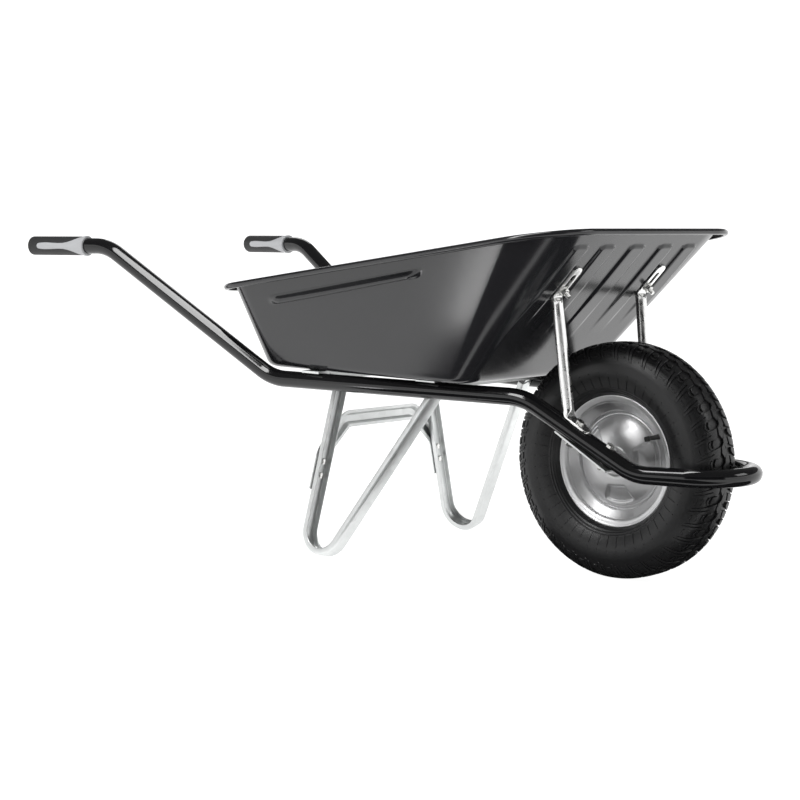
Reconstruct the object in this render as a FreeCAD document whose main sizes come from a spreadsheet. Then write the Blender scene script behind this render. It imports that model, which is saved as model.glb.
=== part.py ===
import FreeCAD
import Part
import Sketcher
import math
import os

from FreeCAD import Placement, Rotation, Vector

# Builder's wheelbarrow with a bent tube frame, a pressed tray and one air-filled wheel.
# Frame of the model: +X forward (wheel end), +Y left, +Z up, ground at z = 0.
# Lengths below that are measured along X start at the wheel axle; the axle
# itself stands axle_forward ahead of the middle of the barrow.

os.makedirs("parts", exist_ok=True)
doc = FreeCAD.newDocument("wheelbarrow")

# ------------------------------------------------------------------ sizes
SIZES = [
    # wheel
    ("axle_forward", 473.7, "axle ahead of the middle of the barrow"),
    ("tyre_radius", 200.0, "tyre outside radius, also the axle height"),
    ("tyre_half", 50.0, "half of the tyre's widest section"),
    ("tread_half", 37.0, "half width of the tread crown"),
    ("groove_depth", 4.0, "depth of the ring grooves in the crown"),
    ("groove_width", 5.0, "width of the ring grooves"),
    ("tyre_wall", 6.0, "tyre side wall thickness"),
    ("flange_radius", 111.5, "rim flange outside radius"),
    ("flange_half", 30.0, "half width over the rim flanges"),
    ("flange_height", 10.5, "rim flange over the bead seat"),
    ("well_depth", 15.0, "drop well under the bead seat"),
    ("well_half", 11.0, "half width of the drop well"),
    ("rim_wall", 2.0, "rim sheet thickness"),
    ("dome_step", 5.0, "flat ring between the well and the pressed dome"),
    ("dome_rise", 21.0, "rise of the dome over its foot"),
    ("dome_foot", 5.0, "dome foot off the middle plane"),
    ("hub_radius", 18.5, "hub tube outside radius"),
    ("hub_bore", 14.0, "hub tube bore radius"),
    ("hub_half", 45.0, "half length of the hub tube"),
    ("bearing_width", 12.0, "bearing width"),
    ("soft_gap", 0.35, "clearance between the tyre and the rim"),
    ("fit_gap", 0.05, "radial clearance of parts that seat in or on each other"),
    ("shaft_radius", 6.0, "axle shaft radius"),
    ("spacer_radius", 10.0, "axle spacer outside radius"),
    ("valve_radius", 4.0, "valve stem radius"),
    ("valve_turn", 29.6, "valve hole above the forward direction, in degrees"),
    ("valve_rise", 9.2, "valve hole outside the well's radius"),
    ("valve_side", 5.0, "valve hole outside the well's half width"),
    ("valve_reach", 26.6, "valve reach from its hole"),
    # tube frame
    ("tube_radius", 15.0, "frame tube outside radius"),
    ("tube_wall", 2.0, "frame tube wall"),
    ("handle_end_x", -1194.0, "rear end of the tube"),
    ("handle_end_y", 296.0, "half distance between the tube ends"),
    ("handle_height", 355.5, "handles' centre line above the axle"),
    ("handle_bend_x", -1011.0, "bend at the front of the handles"),
    ("handle_bend_y", 269.0, "half distance there"),
    ("rear_bend_x", -638.0, "bend under the rear of the tray"),
    ("rear_bend_y", 197.0, "half distance there"),
    ("rear_bend_z", 117.0, "height there above the axle"),
    ("front_bend_x", -112.0, "bend ahead of the tray floor"),
    ("front_bend_y", 130.0, "half distance there"),
    ("front_bend_z", 107.4, "height there above the axle"),
    ("nose_bend_x", 88.0, "bend into the level nose"),
    ("nose_bend_y", 99.5, "half distance there"),
    ("nose_z", -8.2, "nose loop above the axle"),
    ("nose_setback", 45.0, "middle of the nose arc behind the tyre's front"),
    ("nose_radius", 82.2, "radius of the nose arc"),
    ("handle_bend_radius", 95.0, "bend radius"),
    ("rear_bend_radius", 100.0, "bend radius"),
    ("front_bend_radius", 115.0, "bend radius"),
    ("low_bend_radius", 85.0, "bend radius"),
    # handle grips
    ("grip_length", 137.0, "length from collar front to the start of the cap"),
    ("grip_start", 50.0, "collar front behind the handle bend"),
    ("sleeve_wall", 1.75, "wall of the grip's inner sleeve"),
    ("collar_rise", 2.6, "front collar ring stands over the sleeve"),
    ("collar_length", 7.0, "length of the collar ring"),
    ("rubber_wall", 1.5, "thickness of the rubber cover"),
    ("tongue_half", 5.5, "half height of the side tongues"),
    ("tongue_length", 118.0, "reach of the tongues behind the collar"),
    ("grip_cap", 7.0, "thickness of the rounded rubber end"),
    # tray
    ("sheet", 1.5, "tray sheet thickness"),
    ("plate_gap", 4.0, "cross member plate, which is also the gap under the floor"),
    ("floor_rear_x", -690.0, "rear edge of the floor"),
    ("floor_over_tyre", 2.0, "front edge of the floor ahead of the tyre's rear"),
    ("floor_rear_half", 184.0, "half width of the floor at the rear"),
    ("floor_front_half", 194.0, "half width of the floor at the front"),
    ("floor_rear_corner", 55.0, "floor corner radius, rear"),
    ("floor_front_corner", 30.0, "floor corner radius, front"),
    ("rim_rear_x", -733.0, "rear wall at the rim"),
    ("rim_front_x", 48.0, "front wall at the rim"),
    ("rim_rear_half", 230.0, "half width at the rim, rear"),
    ("rim_front_half", 275.0, "half width at the rim, front"),
    ("rim_rear_corner", 60.0, "rim corner radius, rear"),
    ("rim_front_corner", 90.0, "rim corner radius, front"),
    ("rim_rear_z", 284.0, "rim above the axle at the rear wall"),
    ("rim_front_z", 385.0, "rim above the axle at the front wall"),
    ("rim_flange", 21.0, "width of the outward flange"),
    ("bead_height", 11.0, "height of the rolled edge"),
    ("bead_width", 5.0, "width of the rolled edge"),
    ("front_rib_width", 48.0, "width of the front wall ribs"),
    ("front_rib_pitch", 85.5, "pitch of the front wall ribs"),
    ("front_rib_depth", 4.0, "height of the front wall ribs"),
    ("front_rib_top", 30.0, "rib top end below the rim, along the wall"),
    ("front_rib_length", 262.0, "length of the middle rib"),
    ("side_rib_depth", 7.0, "height of the long rib in each side wall"),
    ("side_rib_height", 18.0, "width of that rib down the wall"),
    ("side_rib_rear_x", -612.0, "rear end of that rib"),
    ("side_rib_front_x", -240.0, "front end of that rib"),
    ("side_rib_drop", 29.5, "rib's upper edge below the rim"),
    # cross members, legs and brace
    ("member_width", 42.0, "cross member width along X"),
    ("member_flange", 11.0, "cross member flange height"),
    ("member_front_x", -298.0, "front cross member"),
    ("member_rear_x", -542.0, "rear cross member"),
    ("member_overhang", 14.0, "plate end outside the tube's centre line"),
    ("leg_width", 29.0, "leg channel width"),
    ("leg_depth", 12.0, "leg channel flange depth"),
    ("leg_sheet", 2.5, "leg channel thickness"),
    ("leg_gap", 2.2, "clearance between leg and tube"),
    ("leg_splay", 0.275, "inward lean of the leg plane per unit of height"),
    ("leg_rear_foot_x", -549.6, "rear arm's line meets the ground here"),
    ("leg_rear_top", 5.57, "top of the rear arm ahead of its cross member"),
    ("leg_front_foot_x", -489.0, "front arm's line meets the ground here"),
    ("leg_front_top", 3.88, "top of the front arm ahead of its cross member"),
    ("leg_bend_radius", 41.0, "bend radius at the foot"),
    ("leg_tab", 46.0, "length of the tabs at the leg's tops"),
    ("leg_bolt_inset", 26.0, "tab bolt inboard of the leg's centre line"),
    ("insert_radius", 5.5, "threaded insert in the tube wall"),
    ("insert_length", 12.0, "length of the threaded insert"),
    ("insert_depth", 1.3, "insert below the crown of the tube"),
    ("brace_top", 240.0, "centre line of the brace's level part"),
    ("brace_half", 94.0, "level part's half length"),
    ("brace_low", 116.0, "lower end of the brace"),
    ("brace_knee", 184.0, "brace turns down along the leg here"),
    ("brace_height", 31.0, "width of the brace section"),
    ("brace_sheet", 2.5, "brace thickness"),
    ("brace_crown", 7.0, "rise of the brace's middle channel"),
    ("brace_gap", 0.25, "paint clearance between brace and leg"),
    ("brace_bolt_high", 167.0, "upper brace bolt"),
    ("brace_bolt_low", 142.0, "lower brace bolt"),
    # stays
    ("stay_radius", 9.5, "stay tube radius"),
    ("stay_foot_x", -18.0, "bolt at the foot of the stay"),
    ("stay_top_half", 123.5, "half distance between the stays' tops"),
    ("stay_top_z", 291.0, "stay's upper bolt above the axle"),
    ("stay_plate", 4.0, "thickness of the flattened ends"),
    ("stay_plate_width", 24.0, "width of the flattened ends"),
    ("stay_slot", 38.0, "length of the slot beyond the bolt"),
    ("stay_tip", 26.0, "flattened foot ahead of the bolt"),
    # axle brackets
    ("bracket_sheet", 3.0, "axle bracket thickness"),
    ("bracket_rear_x", -45.0, "rear end of the bracket"),
    ("bracket_front_x", 57.0, "front end of the bracket"),
    ("spacer_length", 9.0, "spacer between bearing gap and bracket"),
    ("spacer_gap", 1.0, "gap between hub end and spacer"),
    ("bracket_bolt_x", 38.0, "second bolt through the tube"),
    ("bracket_ear", 12.5, "radius of the flange's round end"),
    # fasteners
    ("bolt_radius", 4.0, "M8 shank"),
    ("bolt_clear", 0.3, "radial clearance of bolt holes"),
    ("head_radius", 7.5, "across corners of hex heads and nuts"),
    ("head_height", 5.3, "hex head height"),
    ("nut_height", 6.5, "hex nut height"),
    ("washer_radius", 9.0, "washer radius"),
    ("washer_thickness", 1.6, "washer thickness"),
    ("small_bolt_radius", 3.0, "M6 shank"),
    ("small_head_radius", 5.8, "M6 across corners"),
    ("small_head_height", 4.0, "M6 head height"),
    ("small_nut_height", 5.0, "M6 nut height"),
]

sheet = doc.addObject("Spreadsheet::Sheet", "Sizes")
for row, (alias, number, note) in enumerate(SIZES, start=1):
    sheet.set("A%d" % row, alias)
    sheet.set("B%d" % row, str(number))
    sheet.set("C%d" % row, note)
    sheet.setAlias("B%d" % row, alias)
doc.recompute()
VALUE = {alias: float(number) for alias, number, note in SIZES}


class Size:
    """A length that knows both its number and the cell formula behind it."""

    def __init__(self, number, formula):
        self.number = float(number)
        self.formula = formula

    def _join(self, other, sign, number):
        return Size(number, "(%s %s %s)" % (self.formula, sign, other.formula))

    def __add__(self, other):
        other = as_size(other)
        return self._join(other, "+", self.number + other.number)

    def __sub__(self, other):
        other = as_size(other)
        return self._join(other, "-", self.number - other.number)

    def __mul__(self, other):
        other = as_size(other)
        return self._join(other, "*", self.number * other.number)

    def __truediv__(self, other):
        other = as_size(other)
        return self._join(other, "/", self.number / other.number)

    def __neg__(self):
        return Size(-self.number, "(0 - %s)" % self.formula)

    def __radd__(self, other):
        return as_size(other) + self

    def __rsub__(self, other):
        return as_size(other) - self

    def __rmul__(self, other):
        return as_size(other) * self


def as_size(item):
    if isinstance(item, Size):
        return item
    if isinstance(item, str):
        return Size(VALUE[item], "Sizes." + item)
    return Size(item, repr(float(item)))


def size(alias):
    return as_size(alias)


def num(alias):
    return VALUE[alias]


NODES = []


def node(obj, label):
    """Keep an object as a named sub-part that is written to its own file."""
    obj.Label = label
    NODES.append(obj)
    return obj


AXLE = Vector(num("axle_forward"), 0, num("tyre_radius"))


nose_centre_x = num("tyre_radius") - num("nose_setback")
floor_front_x = num("floor_over_tyre") - num("tyre_radius")


def above(alias):
    """Height over the ground of a size that counts from the axle."""
    return num(alias) + num("tyre_radius")


FORWARD = Vector(num("axle_forward"), 0, 0)


def at_barrow(obj):
    """Move a shape that is drawn from the axle's X to its place in the barrow."""
    obj.Placement = Placement(FORWARD, Rotation())
    return obj


def feature(label, shape):
    obj = doc.addObject("Part::Feature", label)
    obj.Shape = shape
    return obj


def bind(obj, **properties):
    for name, item in properties.items():
        item = as_size(item)
        setattr(obj, name, item.number)
        obj.setExpression(name, item.formula)
    return obj


def cylinder(label, radius, height, place):
    obj = doc.addObject("Part::Cylinder", label)
    bind(obj, Radius=radius, Height=height)
    obj.Placement = place
    return obj


def along(point, direction):
    """Placement whose Z runs along a direction."""
    return Placement(point, Rotation(Vector(0, 0, 1), direction))


def cut(label, base, tool):
    obj = doc.addObject("Part::Cut", label)
    obj.Base = base
    obj.Tool = tool
    return obj


def fuse(label, pieces):
    obj = doc.addObject("Part::MultiFuse", label)
    obj.Shapes = pieces
    return obj


def compound(label, pieces):
    obj = doc.addObject("Part::Compound", label)
    obj.Links = pieces
    return obj


def mirrored(label, source):
    """The left-hand twin of a right-hand piece."""
    obj = doc.addObject("Part::Mirroring", label)
    obj.Source = source
    obj.Base = Vector(0, 0, 0)
    obj.Normal = Vector(0, 1, 0)
    return obj


def profile_sketch(body, plane, corners):
    """A closed outline whose corners are all tied to cells."""
    sketch = body.newObject("Sketcher::SketchObject", body.Name + "_profile")
    origin = [f for f in body.Origin.OriginFeatures if f.Role == plane][0]
    sketch.AttachmentSupport = [(origin, "")]
    sketch.MapMode = "FlatFace"
    corners = [(as_size(u), as_size(v)) for u, v in corners]
    count = len(corners)
    for i in range(count):
        a = corners[i]
        b = corners[(i + 1) % count]
        line = Part.LineSegment(Vector(a[0].number, a[1].number, 0), Vector(b[0].number, b[1].number, 0))
        sketch.addGeometry(line, False)
    for i in range(count):
        sketch.addConstraint(Sketcher.Constraint("Coincident", i, 2, (i + 1) % count, 1))
    for i, (u, v) in enumerate(corners):
        for kind, item in (("DistanceX", u), ("DistanceY", v)):
            if abs(item.number) < 1e-9:
                axis = -2 if kind == "DistanceX" else -1
                sketch.addConstraint(Sketcher.Constraint("PointOnObject", i, 1, axis))
            elif item.number > 0:
                index = sketch.addConstraint(Sketcher.Constraint(kind, -1, 1, i, 1, item.number))
                sketch.setExpression("Constraints[%d]" % index, item.formula)
            else:
                index = sketch.addConstraint(Sketcher.Constraint(kind, i, 1, -1, 1, -item.number))
                sketch.setExpression("Constraints[%d]" % index, (-item).formula)
    return sketch


def turned(label, plane, corners, place):
    """A body turned about the sketch's vertical axis."""
    body = doc.addObject("PartDesign::Body", label)
    sketch = profile_sketch(body, plane, corners)
    turn = body.newObject("PartDesign::Revolution", label + "_turn")
    turn.Profile = sketch
    turn.ReferenceAxis = (sketch, ["V_Axis"])
    turn.Angle = 360.0
    sketch.Visibility = False
    body.Tip = turn
    body.Placement = place
    return body


# ------------------------------------------------------------------ curves
def rounded_path(points, radii):
    """Open wire through points with a bend of its own radius at each inner point."""
    edges = []
    start = points[0]
    for i in range(1, len(points) - 1):
        corner = points[i]
        back = (points[i - 1] - corner).normalize()
        ahead = (points[i + 1] - corner).normalize()
        angle = math.acos(max(-1.0, min(1.0, back.dot(ahead))))
        reach = radii[i - 1] / math.tan(angle / 2.0)
        bisector = (back + ahead).normalize()
        first = corner + back * reach
        last = corner + ahead * reach
        middle = corner + bisector * (radii[i - 1] / math.sin(angle / 2.0) - radii[i - 1])
        if (first - start).Length > 1e-6:
            edges.append(Part.LineSegment(start, first).toShape())
        edges.append(Part.Arc(first, middle, last).toShape())
        start = last
    edges.append(Part.LineSegment(start, points[-1]).toShape())
    return Part.Wire(edges)


def rounded_quad(rear_x, front_x, rear_half, front_half, rear_corner, front_corner, inset, height_at):
    """Rounded four-sided outline, symmetric about the middle plane, on a sloping plane."""
    slope = (front_half - rear_half) / (front_x - rear_x)
    stretch = math.sqrt(1.0 + slope * slope)
    rear_x = rear_x + inset
    front_x = front_x - inset
    half_at_zero = rear_half - slope * (rear_x - inset) - inset * stretch
    corners = [
        (rear_x, -(half_at_zero + slope * rear_x), rear_corner - inset),
        (front_x, -(half_at_zero + slope * front_x), front_corner - inset),
        (front_x, half_at_zero + slope * front_x, front_corner - inset),
        (rear_x, half_at_zero + slope * rear_x, rear_corner - inset),
    ]
    flat = [Vector(x, y, 0) for x, y, r in corners]
    edges = []
    arcs = []
    for i in range(4):
        corner = flat[i]
        back = (flat[i - 1] - corner).normalize()
        ahead = (flat[(i + 1) % 4] - corner).normalize()
        angle = math.acos(back.dot(ahead))
        radius = corners[i][2]
        reach = radius / math.tan(angle / 2.0)
        bisector = (back + ahead).normalize()
        arcs.append((
            corner + back * reach,
            corner + bisector * (radius / math.sin(angle / 2.0) - radius),
            corner + ahead * reach,
        ))
    for i in range(4):
        first, middle, last = [Vector(p.x, p.y, height_at(p.x)) for p in arcs[i]]
        following = arcs[(i + 1) % 4][0]
        edges.append(arc_on_slope(first, middle, last))
        edges.append(Part.LineSegment(last, Vector(following.x, following.y, height_at(following.x))).toShape())
    return Part.Wire(edges)


def arc_on_slope(first, middle, last):
    return Part.Arc(first, middle, last).toShape()


def slab(wire, direction):
    return Part.Face(wire).extrude(direction)


# ------------------------------------------------------------------ tube frame
def side_points(sign):
    """Bend points of one side arm; sign is -1 for the right side."""
    apex = nose_apex()
    return [
        Vector(num("handle_end_x"), sign * num("handle_end_y"), above("handle_height")),
        Vector(num("handle_bend_x"), sign * num("handle_bend_y"), above("handle_height")),
        Vector(num("rear_bend_x"), sign * num("rear_bend_y"), above("rear_bend_z")),
        Vector(num("front_bend_x"), sign * num("front_bend_y"), above("front_bend_z")),
        Vector(num("nose_bend_x"), sign * num("nose_bend_y"), above("nose_z")),
        apex,
    ]


def nose_apex():
    """Point where the straight sides would meet ahead of the nose arc."""
    run = nose_centre_x - num("nose_bend_x")
    rise = num("nose_bend_y")
    turn = math.atan2(rise, run) - math.asin(num("nose_radius") / math.hypot(run, rise))
    return Vector(num("nose_bend_x") + rise / math.tan(turn), 0, above("nose_z"))


RIGHT = side_points(-1)
LEFT = side_points(1)


def on_tube(x):
    """Centre of the right side arm where it is straight, and its direction there."""
    for a, b in zip(RIGHT[1:5], RIGHT[2:6]):
        if a.x <= x <= b.x:
            share = (x - a.x) / (b.x - a.x)
            return a + (b - a) * share, (b - a).normalize()
    raise ValueError("x is off the side arm")


frame_wire = rounded_path(
    RIGHT[:5] + [RIGHT[5]] + LEFT[4::-1],
    [num("handle_bend_radius"), num("rear_bend_radius"), num("front_bend_radius"), num("low_bend_radius"),
     num("nose_radius"),
     num("low_bend_radius"), num("front_bend_radius"), num("rear_bend_radius"), num("handle_bend_radius")],
)
frame_path = feature("frame_path", frame_wire)
start_direction = RIGHT[1] - RIGHT[0]


def swept(label, path, radius, start, direction):
    """Round bar along a path, its section a circle tied to a cell."""
    ring = doc.addObject("Part::Circle", label + "_section")
    bind(ring, Radius=radius)
    ring.Placement = along(start, direction)
    bar = doc.addObject("Part::Sweep", label)
    bar.Sections = [ring]
    bar.Spine = (path, ["Edge%d" % (i + 1) for i in range(len(path.Shape.Edges))])
    bar.Solid = True
    bar.Frenet = False
    return bar


tube_outside = swept("tube_outside", frame_path, "tube_radius", RIGHT[0], start_direction)
tube_inside = swept("tube_inside", frame_path, size("tube_radius") - "tube_wall", RIGHT[0], start_direction)
hollow_tube = cut("hollow_tube", tube_outside, tube_inside)

MEMBERS = ("member_front_x", "member_rear_x")
DOWN = Vector(0, 0, -1)
hole_radius = size("bolt_radius") + "bolt_clear"


def deck_normal():
    """Upward direction square to the tube where the tray sits on it, seen from the side."""
    a = RIGHT[2]
    b = RIGHT[3]
    run = Vector(b.x - a.x, 0, b.z - a.z).normalize()
    return Vector(-run.z, 0, run.x)


def slope_normal():
    """Upward direction square to the tube beside the wheel, seen from the side."""
    a = RIGHT[3]
    b = RIGHT[4]
    run = Vector(b.x - a.x, 0, b.z - a.z).normalize()
    return Vector(-run.z, 0, run.x)


DECK_UP = deck_normal()
SLOPE_UP = slope_normal()


def both_sides(point):
    return [Vector(point.x, -abs(point.y), point.z), Vector(point.x, abs(point.y), point.z)]


frame_holes = []
for alias in ("stay_foot_x", "bracket_bolt_x"):
    centre, run = on_tube(num(alias))
    for i, point in enumerate(both_sides(centre)):
        start = point - SLOPE_UP * 25.0
        frame_holes.append(cylinder("frame_hole_%s_%d" % (alias, i), hole_radius, 50.0, along(start, SLOPE_UP)))
insert_hole = size("insert_radius") + "fit_gap"
for alias in MEMBERS:
    centre, run = on_tube(num(alias))
    for i, point in enumerate(both_sides(centre)):
        start = point + DECK_UP * (num("tube_radius") - 6.0)
        frame_holes.append(cylinder("insert_hole_%s_%d" % (alias, i), insert_hole, 8.0, along(start, DECK_UP)))
frame_hole_set = fuse("frame_hole_set", frame_holes)
frame_tube = at_barrow(cut("frame_tube", hollow_tube, frame_hole_set))
node(frame_tube, "frame_tube")

# ------------------------------------------------------------------ grips
grip_run = (RIGHT[0] - RIGHT[1]).normalize()
grip_front = RIGHT[1] + grip_run * (num("grip_start") * 1.0)
grip_place = Placement(grip_front, Rotation(Vector(0, 0, 1), grip_run))


def grip_rotation():
    """Local Z runs to the rear along the handle, local Y stays level."""
    z = grip_run
    y = Vector(0, 0, 1).cross(z).normalize()
    x = y.cross(z)
    return Rotation(x, y, z, "ZYX")


grip_place = Placement(grip_front, grip_rotation())
bore = size("tube_radius") + "fit_gap"
sleeve_radius = bore + "sleeve_wall"
collar_radius = sleeve_radius + "collar_rise"
grip_radius = sleeve_radius + "rubber_wall"
sleeve_end = size("grip_length")
sleeve_body = turned("sleeve_core", "XZ_Plane", [
    (bore, 0), (collar_radius - 1.2, 0), (collar_radius, 1.2),
    (collar_radius, size("collar_length") - 1.2), (collar_radius - 1.2, "collar_length"),
    (sleeve_radius, "collar_length"), (sleeve_radius, sleeve_end), (bore, sleeve_end),
], grip_place)


def tongue_outline(grow):
    """Side view of the tongue: narrow behind, flaring to the collar; grow widens it all round."""
    half = num("tongue_half") + grow
    reach = num("tongue_length") + grow
    wide = collar_radius.number + 1.0
    upper = Part.BSplineCurve()
    upper.interpolate([
        Vector(wide, 0, num("collar_length")),
        Vector(half + 6.0, 0, 26.0),
        Vector(half + 0.8, 0, 46.0),
        Vector(half, 0, 66.0),
        Vector(half, 0, reach - half),
    ])
    lower = Part.BSplineCurve()
    lower.interpolate([
        Vector(-half, 0, reach - half),
        Vector(-half, 0, 66.0),
        Vector(-half - 0.8, 0, 46.0),
        Vector(-half - 6.0, 0, 26.0),
        Vector(-wide, 0, num("collar_length")),
    ])
    tip = Part.Arc(Vector(half, 0, reach - half), Vector(0, 0, reach), Vector(-half, 0, reach - half))
    front = num("collar_length") - 0.5
    return Part.Wire([
        Part.LineSegment(Vector(-wide, 0, front), Vector(wide, 0, front)).toShape(),
        Part.LineSegment(Vector(wide, 0, front), Vector(wide, 0, num("collar_length"))).toShape(),
        upper.toShape(), tip.toShape(), lower.toShape(),
        Part.LineSegment(Vector(-wide, 0, num("collar_length")), Vector(-wide, 0, front)).toShape(),
    ])


grip_reach = 25.0
tongue_prisms = []
for grow in (0.0, num("fit_gap") * 5.0):
    prism = feature("tongue_prism", slab(tongue_outline(grow), Vector(0, 2 * grip_reach, 0)))
    prism.Placement = grip_place.multiply(Placement(Vector(0, -grip_reach, 0), Rotation()))
    tongue_prisms.append(prism)
tongue_prism, tongue_clear = tongue_prisms
skin_length = size("grip_length") + "grip_cap"
skin_outer = cylinder("skin_outer", grip_radius, skin_length, grip_place)
skin_bore = cylinder("skin_bore", sleeve_radius + "fit_gap", "grip_length", grip_place)
skin_front = cylinder("skin_front", 30.0, "collar_length", grip_place)
cap_round = doc.addObject("Part::Fillet", "skin_round")
doc.recompute()
cap_round.Base = skin_outer
end_edges = [i + 1 for i, e in enumerate(skin_outer.Shape.Edges) if len(e.Vertexes) == 1 and
             abs((e.CenterOfMass - grip_place.multVec(Vector(0, 0, skin_length.number))).Length) < 1e-3]
cap_round.Edges = [(end_edges[0], 5.0, 5.0)]
doc.recompute()
tongue_skin = doc.addObject("Part::Common", "tongue_skin")
tongue_ring = cut("tongue_ring", cylinder("tongue_ring_out", grip_radius, "grip_length", grip_place),
                  cylinder("tongue_ring_in", sleeve_radius - 0.2, "grip_length", grip_place))
tongue_skin.Base = tongue_ring
tongue_skin.Tool = tongue_prism
grip_sleeve = fuse("grip_sleeve_right", [sleeve_body, tongue_skin])
skin_tools = fuse("skin_tools", [skin_bore, skin_front, tongue_clear])
grip_cover = cut("grip_cover_right", cap_round, skin_tools)
for obj, label in ((grip_sleeve, "grip_sleeve"), (grip_cover, "grip_cover")):
    at_barrow(obj)
    node(obj, label + "_right")
    node(mirrored(label + "_left_twin", obj), label + "_left")

# ------------------------------------------------------------------ tray
deck_origin = on_tube(num("member_front_x"))[0]
deck_rise = (num("tube_radius") + num("plate_gap")) / DECK_UP.z
deck_slope = (RIGHT[3].z - RIGHT[2].z) / (RIGHT[3].x - RIGHT[2].x)
rim_slope = (above("rim_front_z") - above("rim_rear_z")) / (num("rim_front_x") - num("rim_rear_x"))


def floor_height(x):
    """Underside of the tray floor."""
    return deck_origin.z + deck_rise + deck_slope * (x - deck_origin.x)


def rim_height(x):
    """Top of the rim flange."""
    return above("rim_rear_z") + rim_slope * (x - num("rim_rear_x"))


def floor_wire(inset, lift):
    return rounded_quad(
        num("floor_rear_x"), floor_front_x, num("floor_rear_half"), num("floor_front_half"),
        num("floor_rear_corner"), num("floor_front_corner"), inset, lambda x: floor_height(x) + lift)


def rim_wire(inset, lift):
    return rounded_quad(
        num("rim_rear_x"), num("rim_front_x"), num("rim_rear_half"), num("rim_front_half"),
        num("rim_rear_corner"), num("rim_front_corner"), inset, lambda x: rim_height(x) + lift)


def wall_point(share_along, share_up, inset=0.0):
    """Point of the right side wall: along from rear to front, up from floor to rim."""
    low = Vector(num("floor_rear_x") + share_along * (floor_front_x - num("floor_rear_x")), 0, 0)
    low.y = -(num("floor_rear_half") + share_along * (num("floor_front_half") - num("floor_rear_half")))
    low.z = floor_height(low.x)
    top = Vector(num("rim_rear_x") + share_along * (num("rim_front_x") - num("rim_rear_x")), 0, 0)
    top.y = -(num("rim_rear_half") + share_along * (num("rim_front_half") - num("rim_rear_half")))
    top.z = rim_height(top.x)
    return low + (top - low) * share_up


sheet_t = num("sheet")
outer = Part.makeLoft([floor_wire(0, 0), rim_wire(0, 0)], True, True)
inner = Part.makeLoft([floor_wire(sheet_t, sheet_t), rim_wire(sheet_t, 0)], True, True)

# ribs of the front wall: a wedge that stands proud at the top and runs out below
front_low = Vector(floor_front_x, 0, floor_height(floor_front_x))
front_top = Vector(num("rim_front_x"), 0, rim_height(num("rim_front_x")))
front_down = (front_low - front_top).normalize()
front_out = Vector(-front_down.z, 0, front_down.x)


def front_rib(y, length, grow):
    """Solid of one front rib; grow is negative for its hollow side."""
    half = num("front_rib_width") / 2.0 + grow
    depth = num("front_rib_depth") + grow
    top = front_top + front_down * (num("front_rib_top") - grow)
    inside = front_out * -6.0
    side = [top + inside, top + front_out * depth, top + front_down * (length * 0.55) + front_out * depth,
            top + front_down * length + front_out * grow, top + front_down * length + inside]
    outline = Part.makePolygon(side + [side[0]])
    solid = slab(outline, Vector(0, 2 * half, 0))
    solid.translate(Vector(0, y - half, 0))
    round_end = Part.makeCylinder(half, 60.0, top + front_down * half + front_out * -30.0 + Vector(0, y, 0), front_out)
    keep = Part.makeBox(length + 10.0, 2 * half, 60.0)
    keep.Placement = Placement(
        top + front_down * half + front_out * -30.0 + Vector(0, y - half, 0),
        Rotation(front_down, Vector(0, 1, 0), front_out * 1.0, "ZXY"))
    return solid.common(round_end.fuse(keep))


ribs_out = []
ribs_in = []
for place in range(-2, 3):
    y = place * num("front_rib_pitch")
    length = num("front_rib_length") * (1.0 - 0.06 * abs(place))
    ribs_out.append(front_rib(y, length, 0.0))
    ribs_in.append(front_rib(y, length, -sheet_t))

# the long rib of each side wall
side_normal = (wall_point(0.9, 0.9) - wall_point(0.2, 0.9)).cross(wall_point(0.5, 0.9) - wall_point(0.5, 0.1))
side_normal.normalize()
if side_normal.y > 0:
    side_normal = side_normal * -1.0


def side_rib_point(x, drop):
    """Point on the right wall under the rim at a given X."""
    share = (x - num("rim_rear_x")) / (num("rim_front_x") - num("rim_rear_x"))
    top = wall_point(share, 1.0)
    low = wall_point(share, 0.0)
    down = (low - top).normalize()
    return top + down * drop, down


def side_rib(grow):
    start, down = side_rib_point(num("side_rib_rear_x") - grow, num("side_rib_drop") - grow)
    end, down_end = side_rib_point(num("side_rib_front_x") + grow, num("side_rib_drop") - grow)
    height = num("side_rib_height") + 2 * grow
    depth = num("side_rib_depth") + grow
    sections = []
    for point, fall in ((start, down), (end, down_end)):
        corners = [point - side_normal * 4.0, point, point + fall * height * 0.86 + side_normal * depth,
                   point + fall * height, point + fall * height - side_normal * 4.0]
        sections.append(Part.makePolygon(corners + [corners[0]]))
    return Part.makeLoft(sections, True, True)


for grow, store in ((0.0, ribs_out), (-sheet_t, ribs_in)):
    right = side_rib(grow)
    store.append(right)
    store.append(right.mirror(Vector(0, 0, 0), Vector(0, 1, 0)))

flange_top = Part.Face(rim_wire(-num("rim_flange"), 0)).cut(Part.Face(rim_wire(sheet_t, 0)))
rim_up = Vector(-rim_slope, 0, 1).normalize()
flange = flange_top.extrude(rim_up * -sheet_t)
bead_face = Part.Face(rim_wire(-num("rim_flange"), 0)).cut(Part.Face(rim_wire(-num("rim_flange") + num("bead_width"), 0)))
bead = bead_face.extrude(rim_up * -num("bead_height"))
bead.translate(rim_up * 2.0)

shell = outer.fuse(ribs_out).cut(inner.fuse(ribs_in))
tray_shape = shell.fuse([flange, bead])
open_top = slab(rim_wire(sheet_t, -0.5), Vector(0, 0, 40))
tray_shape = tray_shape.cut(open_top).removeSplitter()
tray_blank = feature("tray_blank", tray_shape)

# bolts through the floor, one over each leg tab
leg_plane_tilt = math.atan(num("leg_splay"))


leg_lean_y = math.cos(leg_plane_tilt) * num("leg_width") / 2.0
leg_start = on_tube(num("member_front_x"))[0]
leg_top_half = abs(leg_start.y) - num("tube_radius") - num("leg_gap") - leg_lean_y


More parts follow.
